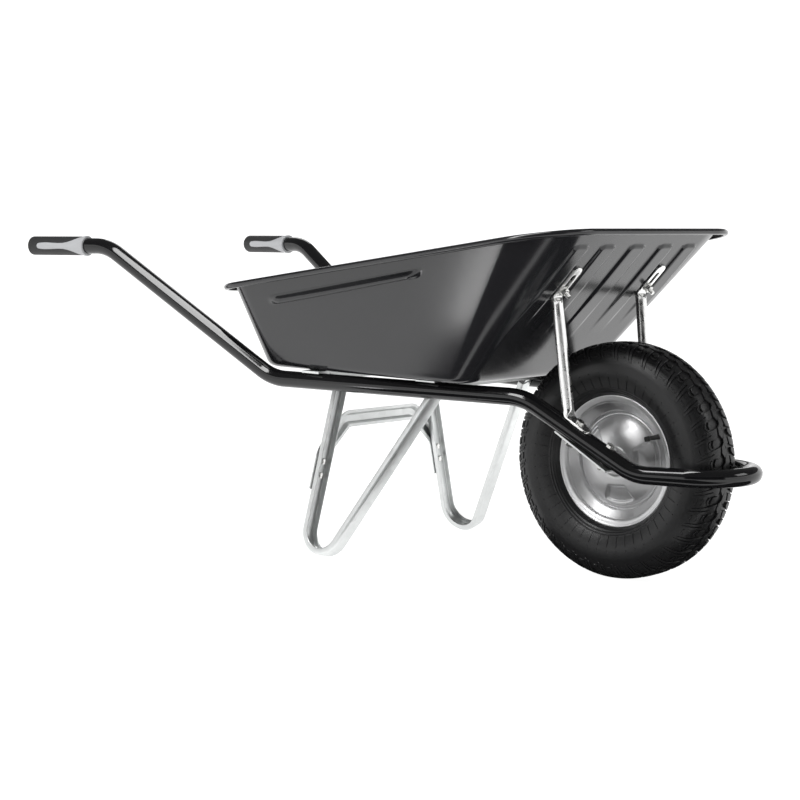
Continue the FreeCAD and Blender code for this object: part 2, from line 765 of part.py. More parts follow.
def leg_half_at(z):
    """Half distance between the leg planes; they pass just inside the tubes and spread downward."""
    return leg_top_half + num("leg_splay") * (leg_start.z - z)


def deck_point(x, y):
    """Underside of the tray floor over a point of the plan."""
    return Vector(x, y, floor_height(x))


member_under = num("plate_gap")
tab_height = floor_height(num("member_front_x")) - member_under
DECK_BOLTS = []
for alias in MEMBERS:
    x = num(alias)
    leg_y = -leg_half_at(floor_height(x)) + num("leg_bolt_inset")
    DECK_BOLTS.append((x, leg_y))

floor_holes = []
for i, (x, y) in enumerate(DECK_BOLTS):
    for j, sign in enumerate((1, -1)):
        start = deck_point(x, y * sign) - DECK_UP * 10.0
        floor_holes.append(cylinder("floor_hole_%d_%d" % (i, j), hole_radius, 20.0, along(start, DECK_UP)))
wall_bolt_share = (above("stay_top_z") - front_low.z) / (front_top.z - front_low.z)
wall_bolt = front_low + (front_top - front_low) * wall_bolt_share
wall_bolt_points = [Vector(wall_bolt.x, s * num("stay_top_half"), wall_bolt.z) for s in (-1, 1)]
for j, point in enumerate(wall_bolt_points):
    floor_holes.append(cylinder("wall_hole_%d" % j, hole_radius, 20.0, along(point - front_out * 10.0, front_out)))
tray = at_barrow(cut("tray", tray_blank, fuse("tray_hole_set", floor_holes)))
node(tray, "tray")

# ------------------------------------------------------------------ cross members
deck_rotation = Rotation(Vector(0, 0, 1), DECK_UP)
nut_bore = size("bolt_radius") + "fit_gap"
small_nut_bore = size("small_bolt_radius") + "fit_gap"


def screw_seats(alias):
    """Crowns of both tubes under a cross member, where its screws go down."""
    return [p + DECK_UP * num("tube_radius") for p in both_sides(on_tube(num(alias))[0])]


def screw_cone(label, crown, clearance):
    """Countersunk head flush with the plate's top, or its seat when there is a clearance."""
    obj = doc.addObject("Part::Cone", label)
    bind(obj, Radius1=size("bolt_radius") + clearance, Radius2=size("head_radius") + clearance,
         Height=size("plate_gap") - 0.4)
    obj.Placement = along(crown + DECK_UP * 0.4, DECK_UP)
    return obj


def cross_member(label, alias):
    """Inverted channel over both tubes, its flanges cut away where the tubes pass."""
    x = num(alias)
    half = abs(on_tube(x)[0].y) + num("member_overhang")
    thick = num("bracket_sheet")
    plate_t = num("plate_gap")
    width = num("member_width")
    plate = Part.makeBox(width, 2 * half, plate_t, Vector(-width / 2.0, -half, -plate_t))
    inner_half = abs(on_tube(x)[0].y) - num("tube_radius") - 3.5
    skirts = []
    for edge in (-width / 2.0, width / 2.0 - thick):
        skirts.append(Part.makeBox(thick, 2 * inner_half, num("member_flange"),
                                   Vector(edge, -inner_half, -plate_t - num("member_flange"))))
    shape = plate.fuse(skirts).removeSplitter()
    shape.Placement = Placement(Vector(x, 0, floor_height(x)), deck_rotation)
    blank = feature(label + "_blank", shape)
    holes = []
    for i, (bolt_x, bolt_y) in enumerate(DECK_BOLTS):
        if bolt_x != x:
            continue
        for j, sign in enumerate((1, -1)):
            start = deck_point(bolt_x, bolt_y * sign) - DECK_UP * 20.0
            holes.append(cylinder("%s_hole_%d_%d" % (label, i, j), hole_radius, 30.0, along(start, DECK_UP)))
    for j, point in enumerate(screw_seats(alias)):
        place = along(point - DECK_UP * 4.0, DECK_UP)
        holes.append(cylinder("%s_screw_hole_%d" % (label, j), nut_bore, 8.0, place))
        holes.append(screw_cone("%s_sink_%d" % (label, j), point, "fit_gap"))
    return node(at_barrow(cut(label, blank, fuse(label + "_holes", holes))), label)


cross_member("cross_member_front", "member_front_x")
cross_member("cross_member_rear", "member_rear_x")

# ------------------------------------------------------------------ legs
leg_up = Vector(0, num("leg_splay"), 1)
leg_up_unit = Vector(leg_up).normalize()
leg_across = Vector(0, 1, -num("leg_splay")).normalize()


def leg_top(kind):
    """Height at which an arm reaches the underside of its cross member."""
    return floor_height(num("member_%s_x" % kind)) - num("plate_gap") / DECK_UP.z - 1.0


def leg_lean(kind):
    """Forward lean of an arm, from its line on the ground to its top under the cross member."""
    top_x = num("member_%s_x" % kind) + num("leg_%s_top" % kind)
    return (top_x - num("leg_%s_foot_x" % kind)) / leg_top(kind)


def leg_line_point(kind, z):
    foot = num("leg_%s_foot_x" % kind)
    lean = leg_lean(kind)
    return Vector(foot + lean * z, -leg_half_at(z), z)


def leg_apex():
    height = (num("leg_front_foot_x") - num("leg_rear_foot_x")) / (leg_lean("rear") - leg_lean("front"))
    return leg_line_point("rear", height)


leg_tops = {
    "rear": leg_line_point("rear", leg_top("rear")),
    "front": leg_line_point("front", leg_top("front")),
}
leg_wire = rounded_path([leg_tops["rear"], leg_apex(), leg_tops["front"]], [num("leg_bend_radius")])


def channel_section(origin, run, across, inward):
    """U section: web outside, flanges pointing to the inside of the V."""
    half = num("leg_width") / 2.0
    deep = num("leg_depth") / 2.0
    thick = num("leg_sheet")
    flat = [(-half, -deep), (half, -deep), (half, deep), (half - thick, deep), (half - thick, thick - deep),
            (thick - half, thick - deep), (thick - half, deep), (-half, deep)]
    points = [origin + across * a + inward * b for a, b in flat]
    return Part.makePolygon(points + [points[0]])


rear_run = (leg_apex() - leg_tops["rear"]).normalize()
inward = leg_across.cross(rear_run).normalize()
if inward.x < 0:
    inward = inward * -1.0
pipe = Part.BRepOffsetAPI.MakePipeShell(leg_wire)
pipe.setBiNormalMode(leg_across)
pipe.add(channel_section(leg_tops["rear"], rear_run, leg_across, inward))
pipe.build()
pipe.makeSolid()
leg_bar = pipe.shape()
ceiling_point = deck_point(num("member_front_x"), 0) - DECK_UP * num("plate_gap")
ceiling = Part.makeBox(700, 500, 120)
ceiling.Placement = Placement(ceiling_point + Vector(-450, -400, 0), Rotation()).multiply(Placement())
ceiling.rotate(ceiling_point, Vector(0, 1, 0), -math.degrees(math.atan(deck_slope)))
leg_bar = leg_bar.cut(ceiling)


def leg_tab(kind, alias):
    """Flat tab under the cross member plate, welded to the top of an arm."""
    x = num(alias)
    y = -leg_half_at(floor_height(x))
    wide = num("member_width") - 2 * num("bracket_sheet") - 2.0
    tab = Part.makeBox(wide, num("leg_tab"), num("leg_sheet"),
                       Vector(-wide / 2.0, -num("leg_depth") / 2.0, -num("plate_gap") - num("leg_sheet")))
    tab.Placement = Placement(Vector(x, y, floor_height(x)), deck_rotation)
    return tab


leg_shape = leg_bar.fuse([leg_tab("front", "member_front_x"), leg_tab("rear", "member_rear_x")]).removeSplitter()
leg_blank = feature("leg_blank", leg_shape)
leg_holes = []
for i, (x, y) in enumerate(DECK_BOLTS):
    start = deck_point(x, y) - DECK_UP * 20.0
    leg_holes.append(cylinder("leg_hole_%d" % i, hole_radius, 30.0, along(start, DECK_UP)))

web_out = inward * -1.0
BRACE_BOLTS = []
for alias in ("brace_bolt_high", "brace_bolt_low"):
    centre = leg_line_point("rear", num(alias))
    BRACE_BOLTS.append(centre + web_out * (num("leg_depth") / 2.0))
small_hole = size("small_bolt_radius") + "bolt_clear"
for i, point in enumerate(BRACE_BOLTS):
    leg_holes.append(cylinder("brace_hole_%d" % i, small_hole, 20.0, along(point - web_out * 10.0, web_out)))
leg_right = at_barrow(cut("leg_right", leg_blank, fuse("leg_hole_set", leg_holes)))
node(leg_right, "leg_right")
node(mirrored("leg_left_twin", leg_right), "leg_left")

# ------------------------------------------------------------------ brace between the legs
brace_web_x = BRACE_BOLTS[0].x


def brace_plane_x(z):
    """Rear face of the rear arms in the middle of the barrow."""
    low = leg_line_point("rear", 0.0) + web_out * (num("leg_depth") / 2.0)
    high = leg_line_point("rear", 200.0) + web_out * (num("leg_depth") / 2.0)
    return low.x + (high.x - low.x) * (z - low.z) / (high.z - low.z)


def brace_corners(sign):
    low = num("brace_low")
    knee = num("brace_knee")
    return [
        Vector(0, sign * leg_half_at(low), low),
        Vector(0, sign * leg_half_at(knee), knee),
        Vector(0, sign * num("brace_half"), num("brace_top")),
    ]


def brace_band(half_width, near, far):
    """Flat band that follows the arch, between two depths behind the legs."""
    right_side = brace_corners(-1)
    left_side = brace_corners(1)
    middle = rounded_path(right_side + left_side[::-1], [45.0, 22.0, 22.0, 45.0])
    path_face = None
    pieces = []
    for edge in middle.Edges:
        first = edge.valueAt(edge.FirstParameter)
        tangent = edge.tangentAt(edge.FirstParameter)
        side = tangent.cross(Vector(1, 0, 0)).normalize()
        line = Part.LineSegment(first - side * half_width, first + side * half_width).toShape()
        pipe_shell = Part.Wire([edge]).makePipeShell([Part.Wire([line])], False, False)
        pieces.append(pipe_shell)
    faces = []
    for piece in pieces:
        faces.extend(piece.Faces)
    solids = [face.extrude(Vector(near - far, 0, 0)) for face in faces]
    body = solids[0].fuse(solids[1:]).removeSplitter()
    body.translate(Vector(far, 0, 0))
    return body


thick = num("brace_sheet")
half_band = num("brace_height") / 2.0
half_crown = half_band - 7.0
crown = num("brace_crown")
band = brace_band(half_band, 0.0, -thick)
raised = brace_band(half_crown, 0.0, -thick - crown)
hollow = brace_band(half_crown - thick, 0.05, -crown)
# the crown stands behind the legs only between the knees, the ends stay flat
middle_only = Part.makeBox(80, 2 * (leg_half_at(num("brace_knee")) - 22.0), 300,
                           Vector(-40, -(leg_half_at(num("brace_knee")) - 22.0), 0))
brace_shape = band.fuse(raised.common(middle_only)).cut(hollow.common(middle_only)).removeSplitter()
lean = math.atan((brace_plane_x(200.0) - brace_plane_x(0.0)) / 200.0)
brace_shape.rotate(Vector(0, 0, 0), Vector(0, 1, 0), math.degrees(lean))
brace_shape.translate(Vector(brace_plane_x(0.0) - num("brace_gap"), 0, 0))
brace_blank = feature("brace_blank", brace_shape)
brace_holes = []
for i, point in enumerate(BRACE_BOLTS):
    for j, target in enumerate(both_sides(point)):
        out = Vector(web_out.x, web_out.y * (1 if j == 0 else -1), web_out.z)
        brace_holes.append(cylinder("brace_end_hole_%d_%d" % (i, j), small_hole, 20.0, along(target - out * 8.0, out)))
node(at_barrow(cut("leg_brace", brace_blank, fuse("brace_hole_set", brace_holes))), "leg_brace")

# ------------------------------------------------------------------ stays
stay_t = num("stay_plate")
foot_centre, foot_run = on_tube(num("stay_foot_x"))
slope_run = Vector(SLOPE_UP.z, 0, -SLOPE_UP.x)
stay_seat = foot_centre + SLOPE_UP * num("tube_radius")
wall_seat = Vector(wall_bolt.x, -num("stay_top_half"), wall_bolt.z) + front_out * 0.0
plate_mid_top = wall_seat + front_out * (stay_t / 2.0)
plate_mid_low = stay_seat + SLOPE_UP * (stay_t / 2.0)
wall_up = front_down * -1.0


def flat_end(seat, out, lengthwise, behind, ahead, slot):
    """Flattened tube end: a plate on its seat with a round tip, bolt hole or slot."""
    across = out.cross(lengthwise).normalize()
    half = num("stay_plate_width") / 2.0
    corners = [seat - lengthwise * behind - across * half, seat + lengthwise * (ahead - half) - across * half,
               seat + lengthwise * (ahead - half) + across * half, seat - lengthwise * behind + across * half]
    tip = Part.Arc(corners[1], seat + lengthwise * ahead, corners[2]).toShape()
    outline = Part.Wire([Part.LineSegment(corners[0], corners[1]).toShape(), tip,
                         Part.LineSegment(corners[2], corners[3]).toShape(),
                         Part.LineSegment(corners[3], corners[0]).toShape()])
    plate = slab(outline, out * stay_t)
    radius = num("bolt_radius") + num("bolt_clear")
    opening = Part.makeCylinder(radius, 3 * stay_t, seat - out * stay_t, out)
    if slot > 0:
        far = Part.makeCylinder(radius, 3 * stay_t, seat - out * stay_t + lengthwise * slot, out)
        bar = [seat - across * radius, seat + lengthwise * slot - across * radius,
               seat + lengthwise * slot + across * radius, seat + across * radius]
        bar = [p - out * stay_t for p in bar]
        between = slab(Part.makePolygon(bar + [bar[0]]), out * (3 * stay_t))
        opening = opening.fuse([far, between])
    return plate, opening


slot_length = num("stay_slot")
top_behind = 16.0
foot_behind = 22.0
top_plate, top_opening = flat_end(wall_seat, front_out, wall_up, top_behind, slot_length + 12.0, slot_length - 8.0)
foot_plate, foot_opening = flat_end(stay_seat, SLOPE_UP, slope_run, foot_behind, num("stay_tip"), 0.0)
radius = num("stay_radius")
top_joint = wall_seat - wall_up * top_behind + front_out * (stay_t / 2.0)
foot_joint = stay_seat - slope_run * foot_behind + SLOPE_UP * (stay_t / 2.0)
stay_axis = (top_joint - foot_joint).normalize()
tube_low = foot_joint + stay_axis * 26.0
tube_high = top_joint - stay_axis * 26.0
stay_tube = Part.makeCylinder(radius, (tube_high - tube_low).Length, tube_low, stay_axis)


def flattening(ring_point, ring_axis, joint, lengthwise, out):
    """Blend from the round tube to the flat end."""
    across = out.cross(lengthwise).normalize()
    half = num("stay_plate_width") / 2.0
    circle = Part.Wire([Part.makeCircle(radius, ring_point, ring_axis)])
    corners = [joint - across * half - out * (stay_t / 2.0), joint + across * half - out * (stay_t / 2.0),
               joint + across * half + out * (stay_t / 2.0), joint - across * half + out * (stay_t / 2.0)]
    flat = Part.makePolygon(corners + [corners[0]])
    return Part.makeLoft([circle, flat], True, False)


top_blend = flattening(tube_high, stay_axis, top_joint, wall_up, front_out)
foot_blend = flattening(tube_low, stay_axis, foot_joint, slope_run, SLOPE_UP)
stay_shape = stay_tube.fuse([top_blend, foot_blend, top_plate, foot_plate]).cut(top_opening.fuse(foot_opening))
stay_blank = feature("stay_blank", stay_shape)
tube_clear = cylinder("stay_tube_clear", "tube_radius", 160.0, along(foot_centre - foot_run * 80.0, foot_run))
stay_right = at_barrow(cut("stay_right", stay_blank, tube_clear))
node(stay_right, "stay_right")
node(mirrored("stay_left_twin", stay_right), "stay_left")

# ------------------------------------------------------------------ axle brackets
bracket_t = num("bracket_sheet")
bracket_inner = size("hub_half") + "spacer_gap" + "spacer_length"


def bracket():
    """Plate under the tube, turned down beside the hub to carry the axle."""
    rear = on_tube(num("bracket_rear_x"))[0]
    front = on_tube(num("bracket_front_x"))[0]
    top_rear = rear - SLOPE_UP * num("tube_radius")
    outer_y = -(abs(on_tube(0.0)[0].y) + 12.0)
    inner_y = -bracket_inner.number
    length = (Vector(front.x, 0, front.z) - Vector(rear.x, 0, rear.z)).Length
    start = Vector(top_rear.x, outer_y, top_rear.z)
    corners = [start, start + slope_run * length,
               Vector((start + slope_run * length).x, inner_y, (start + slope_run * length).z),
               Vector(start.x, inner_y, start.z)]
    plate = slab(Part.makePolygon(corners + [corners[0]]), SLOPE_UP * -bracket_t)
    ear = Part.makeCylinder(num("bracket_ear"), bracket_t, Vector(0, inner_y - bracket_t, num("tyre_radius")),
                            Vector(0, 1, 0))
    root = [start + slope_run * 14.0, start + slope_run * (length - 14.0)]
    tangent = num("bracket_ear")
    cheek = [Vector(root[0].x, inner_y - bracket_t, root[0].z - 1.0),
             Vector(root[1].x, inner_y - bracket_t, root[1].z - 1.0),
             Vector(tangent * 0.80, inner_y - bracket_t, num("tyre_radius") - tangent * 0.6),
             Vector(-tangent * 0.80, inner_y - bracket_t, num("tyre_radius") - tangent * 0.6)]
    web = slab(Part.makePolygon(cheek + [cheek[0]]), Vector(0, bracket_t, 0))
    return plate.fuse([ear, web]).removeSplitter()


bracket_blank = feature("bracket_blank", bracket())
bracket_holes = []
for alias in ("stay_foot_x", "bracket_bolt_x"):
    centre = on_tube(num(alias))[0]
    bracket_holes.append(cylinder("bracket_hole_" + alias, hole_radius, 50.0, along(centre - SLOPE_UP * 40.0, SLOPE_UP)))
axle_hole_radius = size("shaft_radius") + "fit_gap"
bracket_holes.append(cylinder("bracket_axle_hole", axle_hole_radius, 40.0,
                              along(Vector(0, -bracket_inner.number - 20.0, num("tyre_radius")), Vector(0, 1, 0))))
bracket_right = at_barrow(cut("axle_bracket_right", bracket_blank, fuse("bracket_hole_set", bracket_holes)))
node(bracket_right, "axle_bracket_right")
node(mirrored("axle_bracket_left_twin", bracket_right), "axle_bracket_left")

# ------------------------------------------------------------------ fasteners
def hexagon(label, radius, height, place):
    obj = doc.addObject("Part::Prism", label)
    obj.Polygon = 6
    bind(obj, Circumradius=radius, Height=height)
    obj.Placement = place
    return obj


def bolt(label, seat, out, reach, shank, head_radius, head_height):
    """Hex bolt: head stands on the seat along out, shank runs the other way for reach."""
    head = hexagon(label + "_head", head_radius, head_height, along(seat, out))
    stem = cylinder(label + "_stem", shank, reach, along(seat, out * -1.0))
    return fuse(label, [head, stem])


def nut(label, seat, out, bore_radius, outer_radius, height):
    """Hex nut on its seat, bored clear of the shank by the seating gap."""
    ring = hexagon(label + "_hex", outer_radius, height, along(seat, out))
    opening = cylinder(label + "_bore", bore_radius, height, along(seat, out))
    return cut(label, ring, opening)


# bolts through the tray floor; their nuts sit under the leg tabs
deck_bolts = []
deck_nuts = []
for i, (x, y) in enumerate(DECK_BOLTS):
    stack = num("plate_gap") + num("leg_sheet")
    for j, sign in enumerate((1, -1)):
        floor_under = deck_point(x, y * sign)
        seat = floor_under + DECK_UP * num("sheet")
        reach = stack + num("sheet") + num("nut_height") + 2.0
        deck_bolts.append(bolt("deck_bolt_%d_%d" % (i, j), seat, DECK_UP, reach, "bolt_radius",
                               "head_radius", "head_height"))
        low = floor_under - DECK_UP * stack
        deck_nuts.append(nut("deck_nut_%d_%d" % (i, j), low, DECK_UP * -1.0, nut_bore, "head_radius", "nut_height"))
node(at_barrow(compound("tray_bolts", deck_bolts)), "tray_bolts")
node(at_barrow(compound("tray_nuts", deck_nuts)), "tray_nuts")

# screws that hold the cross members to threaded inserts in the tubes
frame_screws = []
inserts = []
for alias in MEMBERS:
    for j, crown in enumerate(screw_seats(alias)):
        head = screw_cone("screw_head_%s_%d" % (alias, j), crown, 0.0)
        shank = cylinder("screw_shank_%s_%d" % (alias, j), "bolt_radius", 17.0, along(crown + DECK_UP * 0.5, DECK_UP * -1.0))
        frame_screws.append(fuse("frame_screw_%s_%d" % (alias, j), [head, shank]))
        top = crown - DECK_UP * num("insert_depth")
        ring = cylinder("insert_ring_%s_%d" % (alias, j), "insert_radius", "insert_length", along(top, DECK_UP * -1.0))
        opening = cylinder("insert_bore_%s_%d" % (alias, j), nut_bore, "insert_length", along(top, DECK_UP * -1.0))
        inserts.append(cut("insert_%s_%d" % (alias, j), ring, opening))
node(at_barrow(compound("frame_screws", frame_screws)), "frame_screws")
node(at_barrow(compound("frame_inserts", inserts)), "frame_inserts")

# bolts down through the tube and the axle bracket
slope_bolts = []
slope_nuts = []
for alias, lift in (("stay_foot_x", stay_t), ("bracket_bolt_x", 0.0)):
    centre = on_tube(num(alias))[0]
    for j, point in enumerate(both_sides(centre)):
        seat = point + SLOPE_UP * (num("tube_radius") + lift)
        low = point - SLOPE_UP * (num("tube_radius") + bracket_t)
        reach = (seat - low).Length + num("nut_height") + 2.0
        slope_bolts.append(bolt("slope_bolt_%s_%d" % (alias, j), seat, SLOPE_UP, reach, "bolt_radius",
                                "head_radius", "head_height"))
        slope_nuts.append(nut("slope_nut_%s_%d" % (alias, j), low, SLOPE_UP * -1.0, nut_bore,
                              "head_radius", "nut_height"))
node(at_barrow(compound("bracket_bolts", slope_bolts)), "bracket_bolts")
node(at_barrow(compound("bracket_nuts", slope_nuts)), "bracket_nuts")

# bolts out through the front wall and the slots of the stays
wall_bolts = []
wall_washers = []
wall_nuts = []
for j, point in enumerate(wall_bolt_points):
    inside = point - front_out * num("sheet")
    plate_out = point + front_out * stay_t
    washer_out = plate_out + front_out * num("washer_thickness")
    reach = num("sheet") + stay_t + num("washer_thickness") + num("nut_height") + 9.0
    wall_bolts.append(bolt("wall_bolt_%d" % j, inside, front_out * -1.0, reach, "bolt_radius",
                           "head_radius", "head_height"))
    disc = cylinder("wall_washer_disc_%d" % j, "washer_radius", "washer_thickness", along(plate_out, front_out))
    opening = cylinder("wall_washer_bore_%d" % j, nut_bore, "washer_thickness", along(plate_out, front_out))
    wall_washers.append(cut("wall_washer_%d" % j, disc, opening))
    wall_nuts.append(nut("wall_nut_%d" % j, washer_out, front_out, nut_bore, "head_radius", "nut_height"))
node(at_barrow(compound("stay_top_bolts", wall_bolts)), "stay_top_bolts")
node(at_barrow(compound("stay_top_washers", wall_washers)), "stay_top_washers")
node(at_barrow(compound("stay_top_nuts", wall_nuts)), "stay_top_nuts")

# small bolts that hold the brace to the legs
brace_bolts = []
brace_nuts = []
for i, point in enumerate(BRACE_BOLTS):
    for j, target in enumerate(both_sides(point)):
        out = Vector(web_out.x, web_out.y * (1 if j == 0 else -1), web_out.z)
        inside = target - out * num("leg_sheet")
        outside = target + out * (num("brace_sheet") + 2 * num("brace_gap"))
        reach = num("leg_sheet") + num("brace_sheet") + num("small_nut_height") + 2.0
        brace_bolts.append(bolt("brace_bolt_%d_%d" % (i, j), inside, out * -1.0, reach, "small_bolt_radius",
                                "small_head_radius", "small_head_height"))
        brace_nuts.append(nut("brace_nut_%d_%d" % (i, j), outside, out, small_nut_bore,
                              "small_head_radius", "small_nut_height"))
node(at_barrow(compound("brace_bolts", brace_bolts)), "brace_bolts")
node(at_barrow(compound("brace_nuts", brace_nuts)), "brace_nuts")

# ------------------------------------------------------------------ axle
wheel_place = Placement(AXLE, Rotation())
shaft_half = bracket_inner + size("bracket_sheet") + size("nut_height") + 3.0
shaft = turned("axle_shaft", "XY_Plane", [
    (0, -shaft_half), (size("shaft_radius") - 0.8, -shaft_half), ("shaft_radius", -shaft_half + 0.8),
    ("shaft_radius", shaft_half - 0.8), (size("shaft_radius") - 0.8, shaft_half), (0, shaft_half),
], wheel_place)
node(shaft, "axle_shaft")

axle_nut_bore = size("shaft_radius") + "fit_gap"
nut_face = bracket_inner.number + bracket_t
axle_nuts = []
for j, sign in enumerate((-1, 1)):
    seat = AXLE + Vector(0, sign * nut_face, 0)
    axle_nuts.append(nut("axle_nut_%d" % j, seat, Vector(0, sign, 0), axle_nut_bore, 10.5, "nut_height"))
node(compound("axle_nuts", axle_nuts), "axle_nuts")

inner_race = size("shaft_radius") + "fit_gap"
spacer_end = bracket_inner
spacer_start = size("hub_half") + "spacer_gap"
spacers = []
for name, sign in (("right", -1.0), ("left", 1.0)):
    near = spacer_start * sign
    far = spacer_end * sign
    lower, upper = (far, near) if sign < 0 else (near, far)
    spacers.append(turned("axle_spacer_" + name, "XY_Plane", [
        (inner_race, lower), ("spacer_radius", lower), ("spacer_radius", upper), (inner_race, upper),
    ], wheel_place))
node(compound("axle_spacers", spacers), "axle_spacers")

# ------------------------------------------------------------------ wheel
hub_hole = size("hub_bore")
hub = turned("hub_tube", "XY_Plane", [
    (hub_hole, -size("hub_half")), ("hub_radius", -size("hub_half")),
    ("hub_radius", "hub_half"), (hub_hole, "hub_half"),
], wheel_place)
node(hub, "hub_tube")

run_gap = size("shaft_radius") + "fit_gap"
for name, sign in (("right", -1.0), ("left", 1.0)):
    outer_end = size("hub_half") * sign
    inner_end = (size("hub_half") - "bearing_width") * sign
    lower, upper = (outer_end, inner_end) if sign < 0 else (inner_end, outer_end)
    node(turned("bearing_" + name, "XY_Plane", [
        (run_gap, lower), (size("hub_bore") - "fit_gap", lower), (size("hub_bore") - "fit_gap", upper),
        (run_gap, upper),
    ], wheel_place), "bearing_" + name)

# rim: one turned sheet with two flanges, a drop well and a disc with a dome on each side
wall = size("rim_wall")
lip = size("flange_radius")
half = size("flange_half")
seat_r = lip - "flange_height"
well = seat_r - "well_depth"
well_half = size("well_half")
outside_half = [
    (well, well_half), (seat_r, well_half + 8), (seat_r, half - 6), (seat_r + 3, half - 4),
    (lip - 2.5, half - 3), (lip - 1, half - 2), (lip, half - 1.6),
]
inside_half = [
    (lip - 0.4, half), (lip - 2, half), (lip - 3.3, half - 1), (seat_r + 1.6, half - 2.4),
    (seat_r - wall, half - 4.8), (seat_r - wall, well_half + 9.2), (well - wall, well_half + 1.2),
]
upper_rim = outside_half + inside_half
rim_corners = upper_rim + [(u, -v) for u, v in reversed(upper_rim)]
rim_ring = turned("rim_ring", "XY_Plane", rim_corners, wheel_place)


def dome_corners(sign):
    """Disc from the well to the hub: a flat ring, then a dome that meets the hub."""
    foot = size("dome_foot") * sign
    thick = size("rim_wall") * sign
    edge = well - wall + 0.05
    dome = well - wall - "dome_step"
    knots = [(edge, foot), (dome + 2, foot), (dome - 2, foot + 5.0 * sign)]
    for share, rise in ((0.86, 0.52), (0.7, 0.78), (0.55, 0.92), (0.42, 1.0), (0.32, 1.0)):
        knots.append((dome * share, foot + size("dome_rise") * (rise * sign)))
    knots.append((size("hub_radius") + "fit_gap", foot + size("dome_rise") * (1.04 * sign)))
    back = [(radius_, level - thick) for radius_, level in reversed(knots)]
    return knots + back


dome_right = turned("dome_right", "XY_Plane", dome_corners(-1.0), wheel_place)
dome_left = turned("dome_left", "XY_Plane", dome_corners(1.0), wheel_place)
valve_turn = math.radians(num("valve_turn"))
valve_distance = well.number + num("valve_rise")
valve_root = AXLE + Vector(valve_distance * math.cos(valve_turn), -(num("well_half") + num("valve_side")),
                           valve_distance * math.sin(valve_turn))
valve_run = Vector(-21.8, -14.0, -6.0).normalize()
valve_hole = cylinder("valve_hole", size("valve_radius") + "fit_gap", 16.0,
                      along(valve_root - valve_run * 8.0, valve_run))
wheel_rim = cut("wheel_rim", fuse("rim_blank", [rim_ring, dome_right, dome_left]), valve_hole)
node(wheel_rim, "wheel_rim")

# tyre
tyre_r = size("tyre_radius")
tyre_h = size("tyre_half")
tread = size("tread_half")
seat_gap = seat_r + "soft_gap"
section_height = tyre_r - lip


def out_to(share):
    """Radius a share of the way from the rim's lip to the tread."""
    return lip + section_height * share


groove_at = 13.0
upper = [
    (seat_gap + 3.0, size("flange_half") - 4.6), (seat_gap, size("flange_half") - 6.6),
    (seat_gap, size("well_half") + 8.8), (seat_gap + 4.0, size("well_half") + 7.6),
    (seat_gap + 9.0, size("flange_half") - 9.0), (out_to(0.21), tyre_h - "tyre_wall" - 2.0),
    (out_to(0.49), tyre_h - "tyre_wall"), (out_to(0.73), tyre_h - "tyre_wall" - 6.0),
    (tyre_r - 14.0, tread - 12.0), (tyre_r - 12.0, 0),
]


def tyre_corners():
    """Outline of the tyre section, crown outward, mirrored about the middle plane."""
    crown = [
        (tyre_r, groove_at - size("groove_width") / 2.0),
        (tyre_r - "groove_depth", groove_at - size("groove_width") / 2.0),
        (tyre_r - "groove_depth", groove_at + size("groove_width") / 2.0),
        (tyre_r - 0.6, groove_at + size("groove_width") / 2.0),
        (tyre_r - 3.0, tread - 6.0), (out_to(0.9), tread + 3.0), (out_to(0.774), tyre_h - 4.0),
        (out_to(0.616), tyre_h - 0.8), (out_to(0.48), tyre_h), (out_to(0.322), tyre_h - 2.0),
        (out_to(0.164), tyre_h - 8.0), (lip + 2.0, size("flange_half") + 3.0),
        (lip + 0.8, half - 1.0), (lip - 1.2, half - 2.9), (lip - 3.0, half - 3.5),
    ]
    crown = [(as_size(u), as_size(v)) for u, v in crown]
    inside = [(as_size(u), as_size(v)) for u, v in upper]
    one_side = crown + inside
    other = [(u, -v) for u, v in reversed(one_side) if abs(v.number) > 1e-9]
    return one_side + other


tyre = turned("tyre", "XY_Plane", tyre_corners(), wheel_place)
node(tyre, "tyre")

# valve stem in the rim, with its cap
cap_length = 9.0
stem_length = size("valve_reach") + 6.0 - cap_length
stem = cylinder("valve_stem", "valve_radius", stem_length, along(valve_root - valve_run * 6.0, valve_run))
node(stem, "valve_stem")
cap = cylinder("valve_cap", size("valve_radius") + 0.5, cap_length,
               along(valve_root + valve_run * (num("valve_reach") - cap_length), valve_run))
node(cap, "valve_cap")

# ------------------------------------------------------------------ check and write
doc.recompute()
for obj in doc.Objects:
    if "Invalid" in obj.State or "Error" in obj.State:
        raise RuntimeError("%s did not compute: %s" % (obj.Label, obj.State))
for obj in NODES:
    shape = obj.Shape
    if shape.isNull() or not shape.isValid() or len(shape.Solids) == 0:
        raise RuntimeError("%s has no sound solid" % obj.Label)
    shape.exportStep("parts/%s.step" % obj.Label)
    print("%-22s solids %2d volume %10.0f" % (obj.Label, len(shape.Solids), shape.Volume))
whole = Part.makeCompound([obj.Shape for obj in NODES])
print("box", whole.BoundBox)
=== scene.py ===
import math

import bmesh
import bpy
from bpy.props import FloatProperty, FloatVectorProperty, IntProperty, PointerProperty
from mathutils import Matrix, Quaternion, Vector

